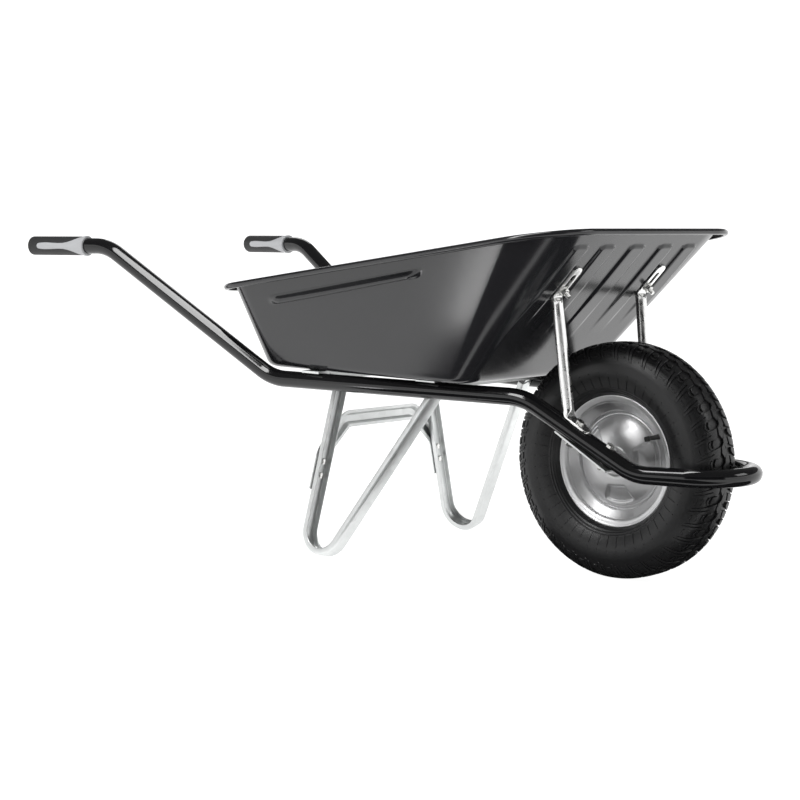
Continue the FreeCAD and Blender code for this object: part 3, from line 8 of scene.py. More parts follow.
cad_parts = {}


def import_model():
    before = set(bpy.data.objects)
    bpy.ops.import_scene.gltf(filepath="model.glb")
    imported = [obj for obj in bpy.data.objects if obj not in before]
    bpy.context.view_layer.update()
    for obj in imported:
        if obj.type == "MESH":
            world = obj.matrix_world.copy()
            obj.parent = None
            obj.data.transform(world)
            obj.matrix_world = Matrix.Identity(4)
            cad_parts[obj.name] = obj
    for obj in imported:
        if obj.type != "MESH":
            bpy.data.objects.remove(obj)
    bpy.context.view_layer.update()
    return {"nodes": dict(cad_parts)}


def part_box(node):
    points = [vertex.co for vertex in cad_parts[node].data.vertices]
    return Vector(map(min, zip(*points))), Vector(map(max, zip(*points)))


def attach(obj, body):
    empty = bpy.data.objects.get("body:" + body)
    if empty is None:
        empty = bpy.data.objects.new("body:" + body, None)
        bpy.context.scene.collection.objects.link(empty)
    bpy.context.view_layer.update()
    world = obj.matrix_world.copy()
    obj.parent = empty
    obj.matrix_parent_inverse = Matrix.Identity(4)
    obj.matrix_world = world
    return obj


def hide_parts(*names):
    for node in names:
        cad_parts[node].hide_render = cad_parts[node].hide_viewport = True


bl_info = {
    "name": "Builder's wheelbarrow",
    "version": (1, 0, 0),
    "blender": (4, 5, 0),
    "location": "View3D > Sidebar > Barrow",
    "description": "Builds the visual model of a single-wheel builder's wheelbarrow over its packed frame",
    "category": "Object",
}

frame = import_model()
MM = 0.001
BARROW = "barrow"
WHEEL = "wheel"
WHEEL_RADIUS = 200.0
EYE_PLACE = (2.2324, -2.5942, 0.5876)
EYE_DROP, EYE_BEARING = 5.26, 41.06
PAPER_FLAT, PAPER_BEND = 6.0, 1.2
DARK_WALL_RADIUS, DARK_WALL_HEIGHT = 4.8, 2.6
CARD_LIFT, STRIP_LIFT = 0.003, 0.004


def axle_point():
    """Middle of the wheel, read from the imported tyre, in metres."""
    low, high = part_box("tyre")
    return Vector([(low[i] + high[i]) / 2 for i in range(3)])


AXLE = axle_point()
AHEAD = Vector((AXLE.x, 0, 0))


# ------------------------------------------------------------------ mesh helpers
def new_object(name, mesh):
    obj = bpy.data.objects.new(name, mesh)
    bpy.context.scene.collection.objects.link(obj)
    return obj


def mesh_piece(name, verts, faces, smooth_angle=35.0):
    """Mesh object with outward normals and soft shading up to an angle in degrees."""
    mesh = bpy.data.meshes.new(name)
    mesh.from_pydata([tuple(v) for v in verts], [], faces)
    mesh.validate()
    mesh.update()
    shape = bmesh.new()
    shape.from_mesh(mesh)
    bmesh.ops.remove_doubles(shape, verts=shape.verts, dist=1e-6)
    bmesh.ops.recalc_face_normals(shape, faces=shape.faces)
    shape.to_mesh(mesh)
    shape.free()
    mesh.shade_smooth()
    mesh.set_sharp_from_angle(angle=math.radians(smooth_angle))
    return new_object(name, mesh)


def ring_faces(first, second, closed=True):
    """Quads between two equal rings of vertex indices."""
    count = len(first)
    last = count if closed else count - 1
    return [(first[i], first[(i + 1) % count], second[(i + 1) % count], second[i]) for i in range(last)]


class Builder:
    """Collects rings of points and the faces between them."""

    def __init__(self):
        self.verts = []
        self.faces = []

    def ring(self, points):
        start = len(self.verts)
        self.verts.extend(points)
        return list(range(start, start + len(points)))

    def bridge(self, first, second, closed=True):
        self.faces.extend(ring_faces(first, second, closed))

    def skin(self, rings, closed=True, cap=True):
        """Joins rings in order and closes both ends."""
        indices = [self.ring(points) for points in rings]
        for first, second in zip(indices, indices[1:]):
            self.bridge(first, second, closed)
        if cap:
            self.faces.append(tuple(reversed(indices[0])))
            self.faces.append(tuple(indices[-1]))
        return indices

    def piece(self, name, smooth_angle=35.0):
        return mesh_piece(name, self.verts, self.faces, smooth_angle)


def bend_path(points, radii, step=5.0):
    """Points and tangents along a polyline whose corners are rounded with these radii."""
    points = [Vector(p) for p in points]
    out = [(points[0], (points[1] - points[0]).normalized())]
    for i in range(1, len(points) - 1):
        corner = points[i]
        back = (points[i - 1] - corner).normalized()
        ahead = (points[i + 1] - corner).normalized()
        angle = back.angle(ahead)
        radius = radii[i - 1]
        reach = radius / math.tan(angle / 2)
        centre = corner + (back + ahead).normalized() * (radius / math.sin(angle / 2))
        first = corner + back * reach
        turn = math.pi - angle
        axis = (-back).cross(ahead).normalized()
        count = max(3, int(radius * turn / step))
        for k in range(count + 1):
            spin = Quaternion(axis, turn * k / count)
            out.append((centre + spin @ (first - centre), spin @ (-back)))
    out.append((points[-1], (points[-1] - points[-2]).normalized()))
    return out


def carried_frames(path, start_side):
    """Side and up vectors carried along a path without twist."""
    side = Vector(start_side)
    frames = []
    for point, tangent in path:
        side = (side - tangent * side.dot(tangent)).normalized()
        frames.append((point, tangent, side, tangent.cross(side)))
    return frames


def sweep(name, path, section, start_side, smooth_angle=35.0):
    """Solid swept along a path; section is a list of (side, up) points or a function of the station."""
    build = Builder()
    rings = []
    frames = carried_frames(path, start_side)
    for k, (point, _, side, up) in enumerate(frames):
        outline = section(k, len(frames)) if callable(section) else section
        rings.append([(point + side * a + up * b) * MM + AHEAD for a, b in outline])
    build.skin(rings)
    return build.piece(name, smooth_angle)


def circle(radius, count=40):
    return [(radius * math.cos(2 * math.pi * k / count), radius * math.sin(2 * math.pi * k / count))
            for k in range(count)]


def rounded_outline(corners, radii, count=4):
    """Closed 2-D outline with rounded corners."""
    points = []
    total = len(corners)
    for i in range(total):
        corner = Vector(corners[i])
        back = (Vector(corners[i - 1]) - corner).normalized()
        ahead = (Vector(corners[(i + 1) % total]) - corner).normalized()
        radius = radii[i] if isinstance(radii, (list, tuple)) else radii
        if radius <= 0:
            points.append(tuple(corner))
            continue
        angle = back.angle(ahead)
        reach = radius / math.tan(angle / 2)
        centre = corner + (back + ahead).normalized() * (radius / math.sin(angle / 2))
        first = corner + back * reach - centre
        last = corner + ahead * reach - centre
        turn = first.angle_signed(last)
        for k in range(count + 1):
            part = -turn * k / count
            points.append((centre.x + first.x * math.cos(part) - first.y * math.sin(part),
                           centre.y + first.x * math.sin(part) + first.y * math.cos(part)))
    return points


def turned(name, profile, segments, bulge=None, smooth_angle=35.0):
    """Closed section (radius, y) in mm turned about the axle; bulge(index, r, y, angle) moves a point along y."""
    build = Builder()
    rings = []
    for k in range(segments):
        angle = 2 * math.pi * k / segments
        ring = []
        for index, (r, y) in enumerate(profile):
            shift = bulge(index, r, y, angle) if bulge else 0.0
            ring.append(AXLE + Vector((r * math.cos(angle), y + shift, r * math.sin(angle))) * MM)
        rings.append(build.ring(ring))
    for k in range(segments):
        build.bridge(rings[k], rings[(k + 1) % segments])
    return build.piece(name, smooth_angle)


def smoothstep(edge0, edge1, value):
    if edge0 == edge1:
        return 0.0 if value < edge0 else 1.0
    share = max(0.0, min(1.0, (value - edge0) / (edge1 - edge0)))
    return share * share * (3 - 2 * share)


def keep_plain(obj, name):
    """Replaces an object that has modifiers by its evaluated plain mesh."""
    depsgraph = bpy.context.evaluated_depsgraph_get()
    depsgraph.update()
    mesh = bpy.data.meshes.new_from_object(obj.evaluated_get(depsgraph), depsgraph=depsgraph)
    bpy.data.objects.remove(obj, do_unlink=True)
    mesh.name = name
    return new_object(name, mesh)


def dress(obj, material, slot, body, *nodes):
    """Material, body and the CAD nodes that a finished piece stands for. The slot is not used."""
    obj.name = obj.name.replace(" ", "-")
    obj.data.materials.clear()
    obj.data.materials.append(material)
    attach(obj, body)
    if nodes:
        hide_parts(*nodes)
    return obj


# ------------------------------------------------------------------ shader groups
def shader_group(name, inputs, outputs):
    tree = bpy.data.node_groups.new(name, "ShaderNodeTree")
    for label, kind, value in inputs:
        socket = tree.interface.new_socket(name=label, in_out="INPUT", socket_type=kind)
        socket.default_value = value
    for label, kind in outputs:
        tree.interface.new_socket(name=label, in_out="OUTPUT", socket_type=kind)
    enter = tree.nodes.new("NodeGroupInput")
    leave = tree.nodes.new("NodeGroupOutput")
    return tree, enter, leave


def noise(tree, source, scale, detail=3.0, roughness=0.5):
    node = tree.nodes.new("ShaderNodeTexNoise")
    node.inputs["Detail"].default_value = detail
    node.inputs["Roughness"].default_value = roughness
    if isinstance(scale, (int, float)):
        node.inputs["Scale"].default_value = scale
    else:
        tree.links.new(scale, node.inputs["Scale"])
    tree.links.new(source, node.inputs["Vector"])
    return node.outputs["Fac"]


def remap(tree, value, low, high, to_low, to_high):
    node = tree.nodes.new("ShaderNodeMapRange")
    for label, item in (("From Min", low), ("From Max", high), ("To Min", to_low), ("To Max", to_high)):
        if isinstance(item, (int, float)):
            node.inputs[label].default_value = item
        else:
            tree.links.new(item, node.inputs[label])
    tree.links.new(value, node.inputs["Value"])
    return node.outputs["Result"]


def mix_colour(tree, share, first, second):
    node = tree.nodes.new("ShaderNodeMix")
    node.data_type = "RGBA"
    for label, item in ((0, share), (6, first), (7, second)):
        if isinstance(item, (int, float)):
            node.inputs[label].default_value = item
        elif isinstance(item, tuple):
            node.inputs[label].default_value = item
        else:
            tree.links.new(item, node.inputs[label])
    return node.outputs[2]


def math_node(tree, operation, first, second=0.0):
    node = tree.nodes.new("ShaderNodeMath")
    node.operation = operation
    for index, item in enumerate((first, second)):
        if isinstance(item, (int, float)):
            node.inputs[index].default_value = item
        else:
            tree.links.new(item, node.inputs[index])
    return node.outputs[0]


def wear_group():
    """Fine dust and handling marks that change colour and roughness a little."""
    tree, enter, leave = shader_group(
        "Surface wear",
        [("Colour", "NodeSocketColor", (0.5, 0.5, 0.5, 1)), ("Dust", "NodeSocketColor", (0.3, 0.3, 0.3, 1)),
         ("Amount", "NodeSocketFloat", 0.1), ("Scale", "NodeSocketFloat", 12.0),
         ("Roughness", "NodeSocketFloat", 0.3), ("Spread", "NodeSocketFloat", 0.1)],
        [("Colour", "NodeSocketColor"), ("Roughness", "NodeSocketFloat")])
    coords = tree.nodes.new("ShaderNodeTexCoord").outputs["Object"]
    broad = noise(tree, coords, enter.outputs["Scale"], 5.0, 0.6)
    fine = noise(tree, coords, math_node(tree, "MULTIPLY", enter.outputs["Scale"], 9.0), 3.0)
    mask = math_node(tree, "MULTIPLY", remap(tree, broad, 0.42, 0.75, 0.0, 1.0),
                     remap(tree, fine, 0.3, 0.7, 0.4, 1.0))
    share = math_node(tree, "MULTIPLY", mask, enter.outputs["Amount"])
    colour = mix_colour(tree, share, enter.outputs["Colour"], enter.outputs["Dust"])
    offset = math_node(tree, "MULTIPLY", math_node(tree, "SUBTRACT", fine, 0.5), enter.outputs["Spread"])
    rough = math_node(tree, "ADD", enter.outputs["Roughness"], offset)
    tree.links.new(colour, leave.inputs["Colour"])
    tree.links.new(rough, leave.inputs["Roughness"])
    return tree


def spangle_group():
    """Crystal pattern of hot-dip zinc: patches of slightly different brightness and gloss."""
    tree, enter, leave = shader_group("Zinc spangle",
                                      [("Light", "NodeSocketColor", (0.7, 0.72, 0.72, 1)),
                                       ("Dark", "NodeSocketColor", (0.5, 0.53, 0.53, 1)),
                                       ("Scale", "NodeSocketFloat", 90.0),
                                       ("Roughness", "NodeSocketFloat", 0.32)],
                                      [("Colour", "NodeSocketColor"), ("Roughness", "NodeSocketFloat"),
                                       ("Height", "NodeSocketFloat")])
    coords = tree.nodes.new("ShaderNodeTexCoord").outputs["Object"]
    cells = tree.nodes.new("ShaderNodeTexVoronoi")
    tree.links.new(coords, cells.inputs["Vector"])
    tree.links.new(enter.outputs["Scale"], cells.inputs["Scale"])
    split = tree.nodes.new("ShaderNodeSeparateColor")
    tree.links.new(cells.outputs["Color"], split.inputs["Color"])
    cloud = noise(tree, coords, 16.0, 4.0, 0.6)
    share = math_node(tree, "ADD", math_node(tree, "MULTIPLY", split.outputs["Red"], 0.55),
                      math_node(tree, "MULTIPLY", cloud, 0.5))
    colour = mix_colour(tree, share, enter.outputs["Dark"], enter.outputs["Light"])
    tree.links.new(colour, leave.inputs["Colour"])
    offset = math_node(tree, "MULTIPLY", math_node(tree, "SUBTRACT", split.outputs["Green"], 0.5), 0.14)
    rough = math_node(tree, "ADD", enter.outputs["Roughness"], offset)
    tree.links.new(rough, leave.inputs["Roughness"])
    tree.links.new(noise(tree, coords, 420.0, 2.0), leave.inputs["Height"])
    return tree


def grain_group():
    """Height for a moulded or sprayed skin: large soft waves under a fine grain."""
    tree, enter, leave = shader_group(
        "Skin grain",
        [("Wave scale", "NodeSocketFloat", 30.0), ("Grain scale", "NodeSocketFloat", 900.0),
         ("Wave", "NodeSocketFloat", 0.5), ("Grain", "NodeSocketFloat", 0.5)],
        [("Height", "NodeSocketFloat")])
    coords = tree.nodes.new("ShaderNodeTexCoord").outputs["Object"]
    broad = noise(tree, coords, enter.outputs["Wave scale"], 2.0)
    fine = noise(tree, coords, enter.outputs["Grain scale"], 2.0)
    wave = math_node(tree, "MULTIPLY", broad, enter.outputs["Wave"])
    grain = math_node(tree, "MULTIPLY", fine, enter.outputs["Grain"])
    tree.links.new(math_node(tree, "ADD", wave, grain), leave.inputs["Height"])
    return tree


GROUPS = {}
MATERIALS = {}


def add_group(material, name):
    node = material.node_tree.nodes.new("ShaderNodeGroup")
    node.node_tree = GROUPS[name]
    return node


def new_material(name):
    material = bpy.data.materials.new(name)
    material.use_nodes = True
    return material, material.node_tree, material.node_tree.nodes["Principled BSDF"]


def bump(tree, shader, height, strength, distance):
    node = tree.nodes.new("ShaderNodeBump")
    node.inputs["Strength"].default_value = strength
    node.inputs["Distance"].default_value = distance
    tree.links.new(height, node.inputs["Height"])
    tree.links.new(node.outputs["Normal"], shader.inputs["Normal"])
    return node


def worn_material(name, colour, dust, amount, roughness, spread, metallic=0.0, ior=1.5,
                  wave=0.0, grain=0.0, grain_scale=900.0, wave_scale=30.0, distance=0.0004):
    material, tree, shader = new_material(name)
    wear = add_group(material, "wear")
    wear.inputs["Colour"].default_value = (*colour, 1)
    wear.inputs["Dust"].default_value = (*dust, 1)
    wear.inputs["Amount"].default_value = amount
    wear.inputs["Roughness"].default_value = roughness
    wear.inputs["Spread"].default_value = spread
    tree.links.new(wear.outputs["Colour"], shader.inputs["Base Color"])
    tree.links.new(wear.outputs["Roughness"], shader.inputs["Roughness"])
    shader.inputs["Metallic"].default_value = metallic
    shader.inputs["IOR"].default_value = ior
    if wave > 0 or grain > 0:
        skin = add_group(material, "grain")
        skin.inputs["Wave"].default_value = wave
        skin.inputs["Grain"].default_value = grain
        skin.inputs["Grain scale"].default_value = grain_scale
        skin.inputs["Wave scale"].default_value = wave_scale
        bump(tree, shader, skin.outputs["Height"], 1.0, distance)
    MATERIALS[name] = material
    return material


def zinc_material(name, light, shade, scale, roughness, strength=0.25):
    material, tree, shader = new_material(name)
    zinc = add_group(material, "spangle")
    zinc.inputs["Light"].default_value = (*light, 1)
    zinc.inputs["Dark"].default_value = (*[shade * channel for channel in light], 1)
    zinc.inputs["Scale"].default_value = scale
    zinc.inputs["Roughness"].default_value = roughness
    tree.links.new(zinc.outputs["Colour"], shader.inputs["Base Color"])
    tree.links.new(zinc.outputs["Roughness"], shader.inputs["Roughness"])
    shader.inputs["Metallic"].default_value = 1.0
    bump(tree, shader, zinc.outputs["Height"], strength, 0.0002)
    MATERIALS[name] = material
    return material


def make_materials(props):
    GROUPS["wear"] = wear_group()
    GROUPS["spangle"] = spangle_group()
    GROUPS["grain"] = grain_group()
    worn_material("frame paint", props.frame_paint, (0.05, 0.05, 0.05), 0.05, 0.09, 0.02,
                  ior=1.5, wave=0.25, grain=0.01, grain_scale=500.0, wave_scale=10.0, distance=0.0005)
    worn_material("tray paint", props.tray_paint, (0.06, 0.06, 0.06), 0.06, 0.15, 0.04,
                  ior=1.55, wave=0.5, grain=0.04, grain_scale=600.0, wave_scale=7.0, distance=0.0008)
    worn_material("grip rubber", props.grip_rubber, (0.09, 0.09, 0.09), 0.10, 0.60, 0.12,
                  grain=1.0, grain_scale=1300.0, distance=0.0003)
    worn_material("grip sleeve", props.grip_sleeve, (0.5, 0.5, 0.5), 0.12, 0.38, 0.08,
                  grain=0.4, grain_scale=900.0, distance=0.0002)
    worn_material("tyre rubber", props.tyre_rubber, (0.03, 0.03, 0.029), 0.15, 0.34, 0.12, ior=1.42,
                  grain=0.5, grain_scale=700.0, wave=0.4, wave_scale=40.0, distance=0.0003)
    worn_material("valve rubber", (0.012, 0.012, 0.012), (0.07, 0.07, 0.07), 0.15, 0.5, 0.1,
                  grain=0.5, grain_scale=900.0, distance=0.0003)
    worn_material("axle steel", (0.50, 0.50, 0.49), (0.3, 0.3, 0.3), 0.2, 0.3, 0.1, metallic=1.0,
                  grain=0.3, grain_scale=900.0, distance=0.0002)
    zinc_material("galvanised", props.zinc, 0.90, 70.0, 0.40, 0.10)
    zinc_material("fastener zinc", props.bolt_zinc, 0.84, 260.0, 0.22)
    zinc_material("bright zinc", props.stay_zinc, 0.94, 60.0, 0.28, 0.03)
    zinc_material("rim zinc", props.rim_zinc, 0.92, 30.0, 0.42, 0.05)


# ------------------------------------------------------------------ geometry nodes
def wired(tree, *pairs):
    """Links each output to its input and hands the tree back."""
    for source, target in pairs:
        tree.links.new(source, target)
    return tree


def ring_tree():
    """Repeats the input mesh around the wheel's axis."""
    tree = bpy.data.node_groups.new("Repeat around the wheel", "GeometryNodeTree")
    tree.interface.new_socket(name="Geometry", in_out="INPUT", socket_type="NodeSocketGeometry")
    count = tree.interface.new_socket(name="Count", in_out="INPUT", socket_type="NodeSocketInt")
    count.default_value = 12
    phase = tree.interface.new_socket(name="Phase", in_out="INPUT", socket_type="NodeSocketFloat")
    phase.default_value = 0.0
    tree.interface.new_socket(name="Centre", in_out="INPUT", socket_type="NodeSocketVector")
    tree.interface.new_socket(name="Material", in_out="INPUT", socket_type="NodeSocketMaterial")
    tree.interface.new_socket(name="Geometry", in_out="OUTPUT", socket_type="NodeSocketGeometry")
    enter = tree.nodes.new("NodeGroupInput")
    leave = tree.nodes.new("NodeGroupOutput")
    points = tree.nodes.new("GeometryNodePoints")
    place = tree.nodes.new("GeometryNodeInstanceOnPoints")
    index = tree.nodes.new("GeometryNodeInputIndex")
    combine = tree.nodes.new("ShaderNodeCombineXYZ")
    move = tree.nodes.new("GeometryNodeTransform")
    realize = tree.nodes.new("GeometryNodeRealizeInstances")
    paint = tree.nodes.new("GeometryNodeSetMaterial")
    share = math_node(tree, "DIVIDE", index.outputs[0], enter.outputs["Count"])
    turn = math_node(tree, "MULTIPLY", math_node(tree, "ADD", share, enter.outputs["Phase"]), 2 * math.pi)
    return wired(tree, (turn, combine.inputs["Y"]), (enter.outputs["Count"], points.inputs["Count"]),
                 (points.outputs[0], place.inputs["Points"]),
                 (enter.outputs["Geometry"], place.inputs["Instance"]),
                 (combine.outputs[0], place.inputs["Rotation"]),
                 (place.outputs[0], move.inputs["Geometry"]),
                 (enter.outputs["Centre"], move.inputs["Translation"]),
                 (move.outputs[0], realize.inputs[0]), (realize.outputs[0], paint.inputs["Geometry"]),
                 (enter.outputs["Material"], paint.inputs["Material"]), (paint.outputs[0], leave.inputs[0]))


def seat_tree():
    """Stands a fastener on every point, its Z along the point's stored direction."""
    tree = bpy.data.node_groups.new("Fasteners on seats", "GeometryNodeTree")
    tree.interface.new_socket(name="Geometry", in_out="INPUT", socket_type="NodeSocketGeometry")
    tree.interface.new_socket(name="Fastener", in_out="INPUT", socket_type="NodeSocketObject")
    seed = tree.interface.new_socket(name="Seed", in_out="INPUT", socket_type="NodeSocketInt")
    seed.default_value = 7
    tree.interface.new_socket(name="Material", in_out="INPUT", socket_type="NodeSocketMaterial")
    tree.interface.new_socket(name="Geometry", in_out="OUTPUT", socket_type="NodeSocketGeometry")
    enter = tree.nodes.new("NodeGroupInput")
    leave = tree.nodes.new("NodeGroupOutput")
    out = tree.nodes.new("GeometryNodeInputNamedAttribute")
    out.data_type = "FLOAT_VECTOR"
    out.inputs["Name"].default_value = "out"
    align = tree.nodes.new("FunctionNodeAlignRotationToVector")
    align.axis = "Z"
    spin = tree.nodes.new("FunctionNodeRandomValue")
    spin.data_type = "FLOAT"
    tree.links.new(enter.outputs["Seed"], spin.inputs["Seed"])
    own = tree.nodes.new("FunctionNodeAxisAngleToRotation")
    own.inputs["Axis"].default_value = (0, 0, 1)
    tree.links.new(math_node(tree, "MULTIPLY", spin.outputs[1], 1.0472), own.inputs["Angle"])
    join = tree.nodes.new("FunctionNodeRotateRotation")
    join.rotation_space = "LOCAL"
    info = tree.nodes.new("GeometryNodeObjectInfo")
    place = tree.nodes.new("GeometryNodeInstanceOnPoints")
    realize = tree.nodes.new("GeometryNodeRealizeInstances")
    paint = tree.nodes.new("GeometryNodeSetMaterial")
    return wired(tree, (out.outputs[0], align.inputs["Vector"]),
                 (align.outputs[0], join.inputs["Rotation"]), (own.outputs[0], join.inputs["Rotate By"]),
                 (enter.outputs["Fastener"], info.inputs["Object"]),
                 (enter.outputs["Geometry"], place.inputs["Points"]),
                 (info.outputs["Geometry"], place.inputs["Instance"]),
                 (join.outputs[0], place.inputs["Rotation"]), (place.outputs[0], realize.inputs[0]),
                 (realize.outputs[0], paint.inputs["Geometry"]),
                 (enter.outputs["Material"], paint.inputs["Material"]), (paint.outputs[0], leave.inputs[0]))


TREES = {}


def run_tree(obj, tree_name, name, **values):
    """Puts a node tree on an object, sets its named inputs and keeps the plain mesh."""
    tree = TREES[tree_name]
    modifier = obj.modifiers.new("repeat", "NODES")
    modifier.node_group = tree
    for item in tree.interface.items_tree:
        if item.in_out == "INPUT" and item.name in values:
            modifier[item.identifier] = values[item.name]
    return keep_plain(obj, name)


def on_seats(name, seats, fastener, material):
    """A group of equal fasteners; seats are (point, outward direction) in metres."""
    mesh = bpy.data.meshes.new(name)
    mesh.from_pydata([tuple(point) for point, out in seats], [], [])
    out = mesh.attributes.new("out", "FLOAT_VECTOR", "POINT")
    for index, (point, direction) in enumerate(seats):
        out.data[index].vector = direction
    obj = new_object(name, mesh)
    result = run_tree(obj, "seats", name, Fastener=fastener, Material=MATERIALS[material])
    bpy.data.objects.remove(fastener, do_unlink=True)
    result.data.set_sharp_from_angle(angle=math.radians(35))
    return result


# ------------------------------------------------------------------ barrow layout, in mm from the axle
HANDLE_END = Vector((-1194.0, 296.0, 555.5))
FRAME_BENDS = [
    (Vector((-1011.0, 269.0, 555.5)), 95.0),
    (Vector((-638.0, 197.0, 317.0)), 100.0),
    (Vector((-112.0, 130.0, 307.4)), 115.0),
    (Vector((88.0, 99.5, 191.8)), 85.0),
]
NOSE_CENTRE = 155.0
NOSE_RADIUS = 82.2
TUBE = 15.0
FLOOR = {"rear_x": -690.0, "front_x": -198.0, "rear_half": 184.0, "front_half": 194.0,
         "rear_corner": 55.0, "front_corner": 30.0}
RIM = {"rear_x": -733.0, "front_x": 48.0, "rear_half": 230.0, "front_half": 275.0,
       "rear_corner": 60.0, "front_corner": 90.0}
RIM_REAR_Z = 484.0
RIM_FRONT_Z = 585.0
PLATE = 4.0
SHEET = 1.5
MEMBER_X = (-298.0, -542.0)
LEG_HALF = 208.0
LEG_SPLAY = 0.275
LEG_LINES = {"rear": (-549.6, 0.04), "front": (-489.0, 0.6)}


def mirror(point):
    return Vector((point.x, -point.y, point.z))


def nose_apex():
    last = FRAME_BENDS[-1][0]
    run = NOSE_CENTRE - last.x
    turn = math.atan2(last.y, run) - math.asin(NOSE_RADIUS / math.hypot(run, last.y))
    return Vector((last.x + last.y / math.tan(turn), 0, last.z))


def on_tube(x):
    """Centre of the left arm's straight stretch at x."""
    points = [p for p, _ in FRAME_BENDS] + [nose_apex()]
    for a, b in zip(points, points[1:]):
        if a.x <= x <= b.x:
            return a + (b - a) * ((x - a.x) / (b.x - a.x))
    raise ValueError("x is off the arm")


def side_normal(index):
    """Upward normal, seen from the side, of the tube between two bends."""
    a, b = FRAME_BENDS[index][0], FRAME_BENDS[index + 1][0]
    run = Vector((b.x - a.x, 0, b.z - a.z)).normalized()
    return Vector((-run.z, 0, run.x))


DECK_UP = side_normal(1)
SLOPE_UP = side_normal(2)
SLOPE_RUN = Vector((SLOPE_UP.z, 0, -SLOPE_UP.x))
DECK_SLOPE = ((FRAME_BENDS[2][0].z - FRAME_BENDS[1][0].z) / (FRAME_BENDS[2][0].x - FRAME_BENDS[1][0].x))
RIM_SLOPE = (RIM_FRONT_Z - RIM_REAR_Z) / (RIM["front_x"] - RIM["rear_x"])
RIM_UP = Vector((-RIM_SLOPE, 0, 1)).normalized()


def floor_height(x):
    middle = on_tube(MEMBER_X[0])
    return middle.z + (TUBE + PLATE) / DECK_UP.z + DECK_SLOPE * (x - middle.x)


def rim_height(x):
    return RIM_REAR_Z + RIM_SLOPE * (x - RIM["rear_x"])


FRONT_LOW = Vector((FLOOR["front_x"], 0, floor_height(FLOOR["front_x"])))
FRONT_TOP = Vector((RIM["front_x"], 0, rim_height(RIM["front_x"])))
FRONT_DOWN = (FRONT_LOW - FRONT_TOP).normalized()
FRONT_OUT = Vector((-FRONT_DOWN.z, 0, FRONT_DOWN.x))
STAY_HALF = 123.5
STAY_Z = 491.0
WALL_BOLT = FRONT_LOW + (FRONT_TOP - FRONT_LOW) * ((STAY_Z - FRONT_LOW.z) / (FRONT_TOP.z - FRONT_LOW.z))


def leg_half(z):
    return LEG_HALF - LEG_SPLAY * z


def leg_point(kind, z, sign=1):
    foot, lean = LEG_LINES[kind]
    return Vector((foot + lean * z, sign * leg_half(z), z))


# ------------------------------------------------------------------ frame tube and grips
def make_frame_tube(props):
    left = [(p, r) for p, r in FRAME_BENDS]
    points = [mirror(HANDLE_END)] + [mirror(p) for p, r in left] + [nose_apex()]
    points += [p for p, r in reversed(left)] + [HANDLE_END]
    radii = [r for p, r in left] + [NOSE_RADIUS] + [r for p, r in reversed(left)]
    path = bend_path(points, radii, 4.0)
    tube = sweep("frame tube", path, circle(props.radius / MM, 48), (0, 0, 1), 60.0)
    return dress(tube, MATERIALS["frame paint"], "frame_paint", BARROW, "frame_tube")


# ------------------------------------------------------------------ tray
def stations(counts):
    """Perimeter stations as (corner or side index, share), starting behind the right rear corner."""
    rear, rear_corner, side, front_corner, front = counts
    plan = [("arc", 0, rear_corner), ("side", 0, side), ("arc", 1, front_corner), ("side", 1, front),
            ("arc", 2, front_corner), ("side", 2, side), ("arc", 3, rear_corner), ("side", 3, rear)]
    out = []
    for kind, index, count in plan:
        out += [(kind, index, k / count) for k in range(count)]
    return out


def outline(spec, inset, plan, height):
    """Rounded four-sided outline with equal stations for every inset."""
    slope = (spec["front_half"] - spec["rear_half"]) / (spec["front_x"] - spec["rear_x"])
    stretch = math.sqrt(1 + slope * slope)
    rear_x, front_x = spec["rear_x"] + inset, spec["front_x"] - inset
    base = spec["rear_half"] - slope * spec["rear_x"] - inset * stretch
    corners = [Vector((rear_x, -(base + slope * rear_x))), Vector((front_x, -(base + slope * front_x))),
               Vector((front_x, base + slope * front_x)), Vector((rear_x, base + slope * rear_x))]
    radii = [spec["rear_corner"] - inset, spec["front_corner"] - inset,
             spec["front_corner"] - inset, spec["rear_corner"] - inset]
    arcs = []
    for i in range(4):
        back = (corners[i - 1] - corners[i]).normalized()
        ahead = (corners[(i + 1) % 4] - corners[i]).normalized()
        angle = back.angle(ahead)
        radius = max(radii[i], 0.5)
        reach = radius / math.tan(angle / 2)
        centre = corners[i] + (back + ahead).normalized() * (radius / math.sin(angle / 2))
        arcs.append((centre, corners[i] + back * reach - centre, math.pi - angle, corners[i] + ahead * reach))
    points = []
    for kind, index, share in plan:
        centre, first, turn, end = arcs[index]
        if kind == "arc":
            a = turn * share
            flat = centre + Vector((first.x * math.cos(a) - first.y * math.sin(a),
                                    first.x * math.sin(a) + first.y * math.cos(a)))
        else:
            following = arcs[(index + 1) % 4]
            flat = end.lerp(following[0] + following[1], share)
        points.append(Vector((flat.x, flat.y, height(flat.x))))
    return points


def front_rib_height(props, y, down):
    """Height of the front wall's ribs at a distance y across and down the wall."""
    total = 0.0
    places = ((0.0, 48.0, 1.0), (85.5, 45.0, 0.96), (160.0, 44.0, 0.9))
    for place, width, reach in places:
        across = abs(abs(y) - place)
        top = props.rib_top / MM
        corner = 14.0
        over = max(0.0, across - (width / 2 - corner))
        drop = corner - math.sqrt(max(0.0, corner * corner - over * over)) if over < corner else corner
        edge = smoothstep(width / 2, width / 2 - 6.5, across)
        start = smoothstep(top + drop, top + drop + 7.0, down)
        end = 1.0 - smoothstep(120.0, props.rib_length / MM * reach, down)
        total = max(total, edge * start * end)
    return total * props.rib_depth / MM


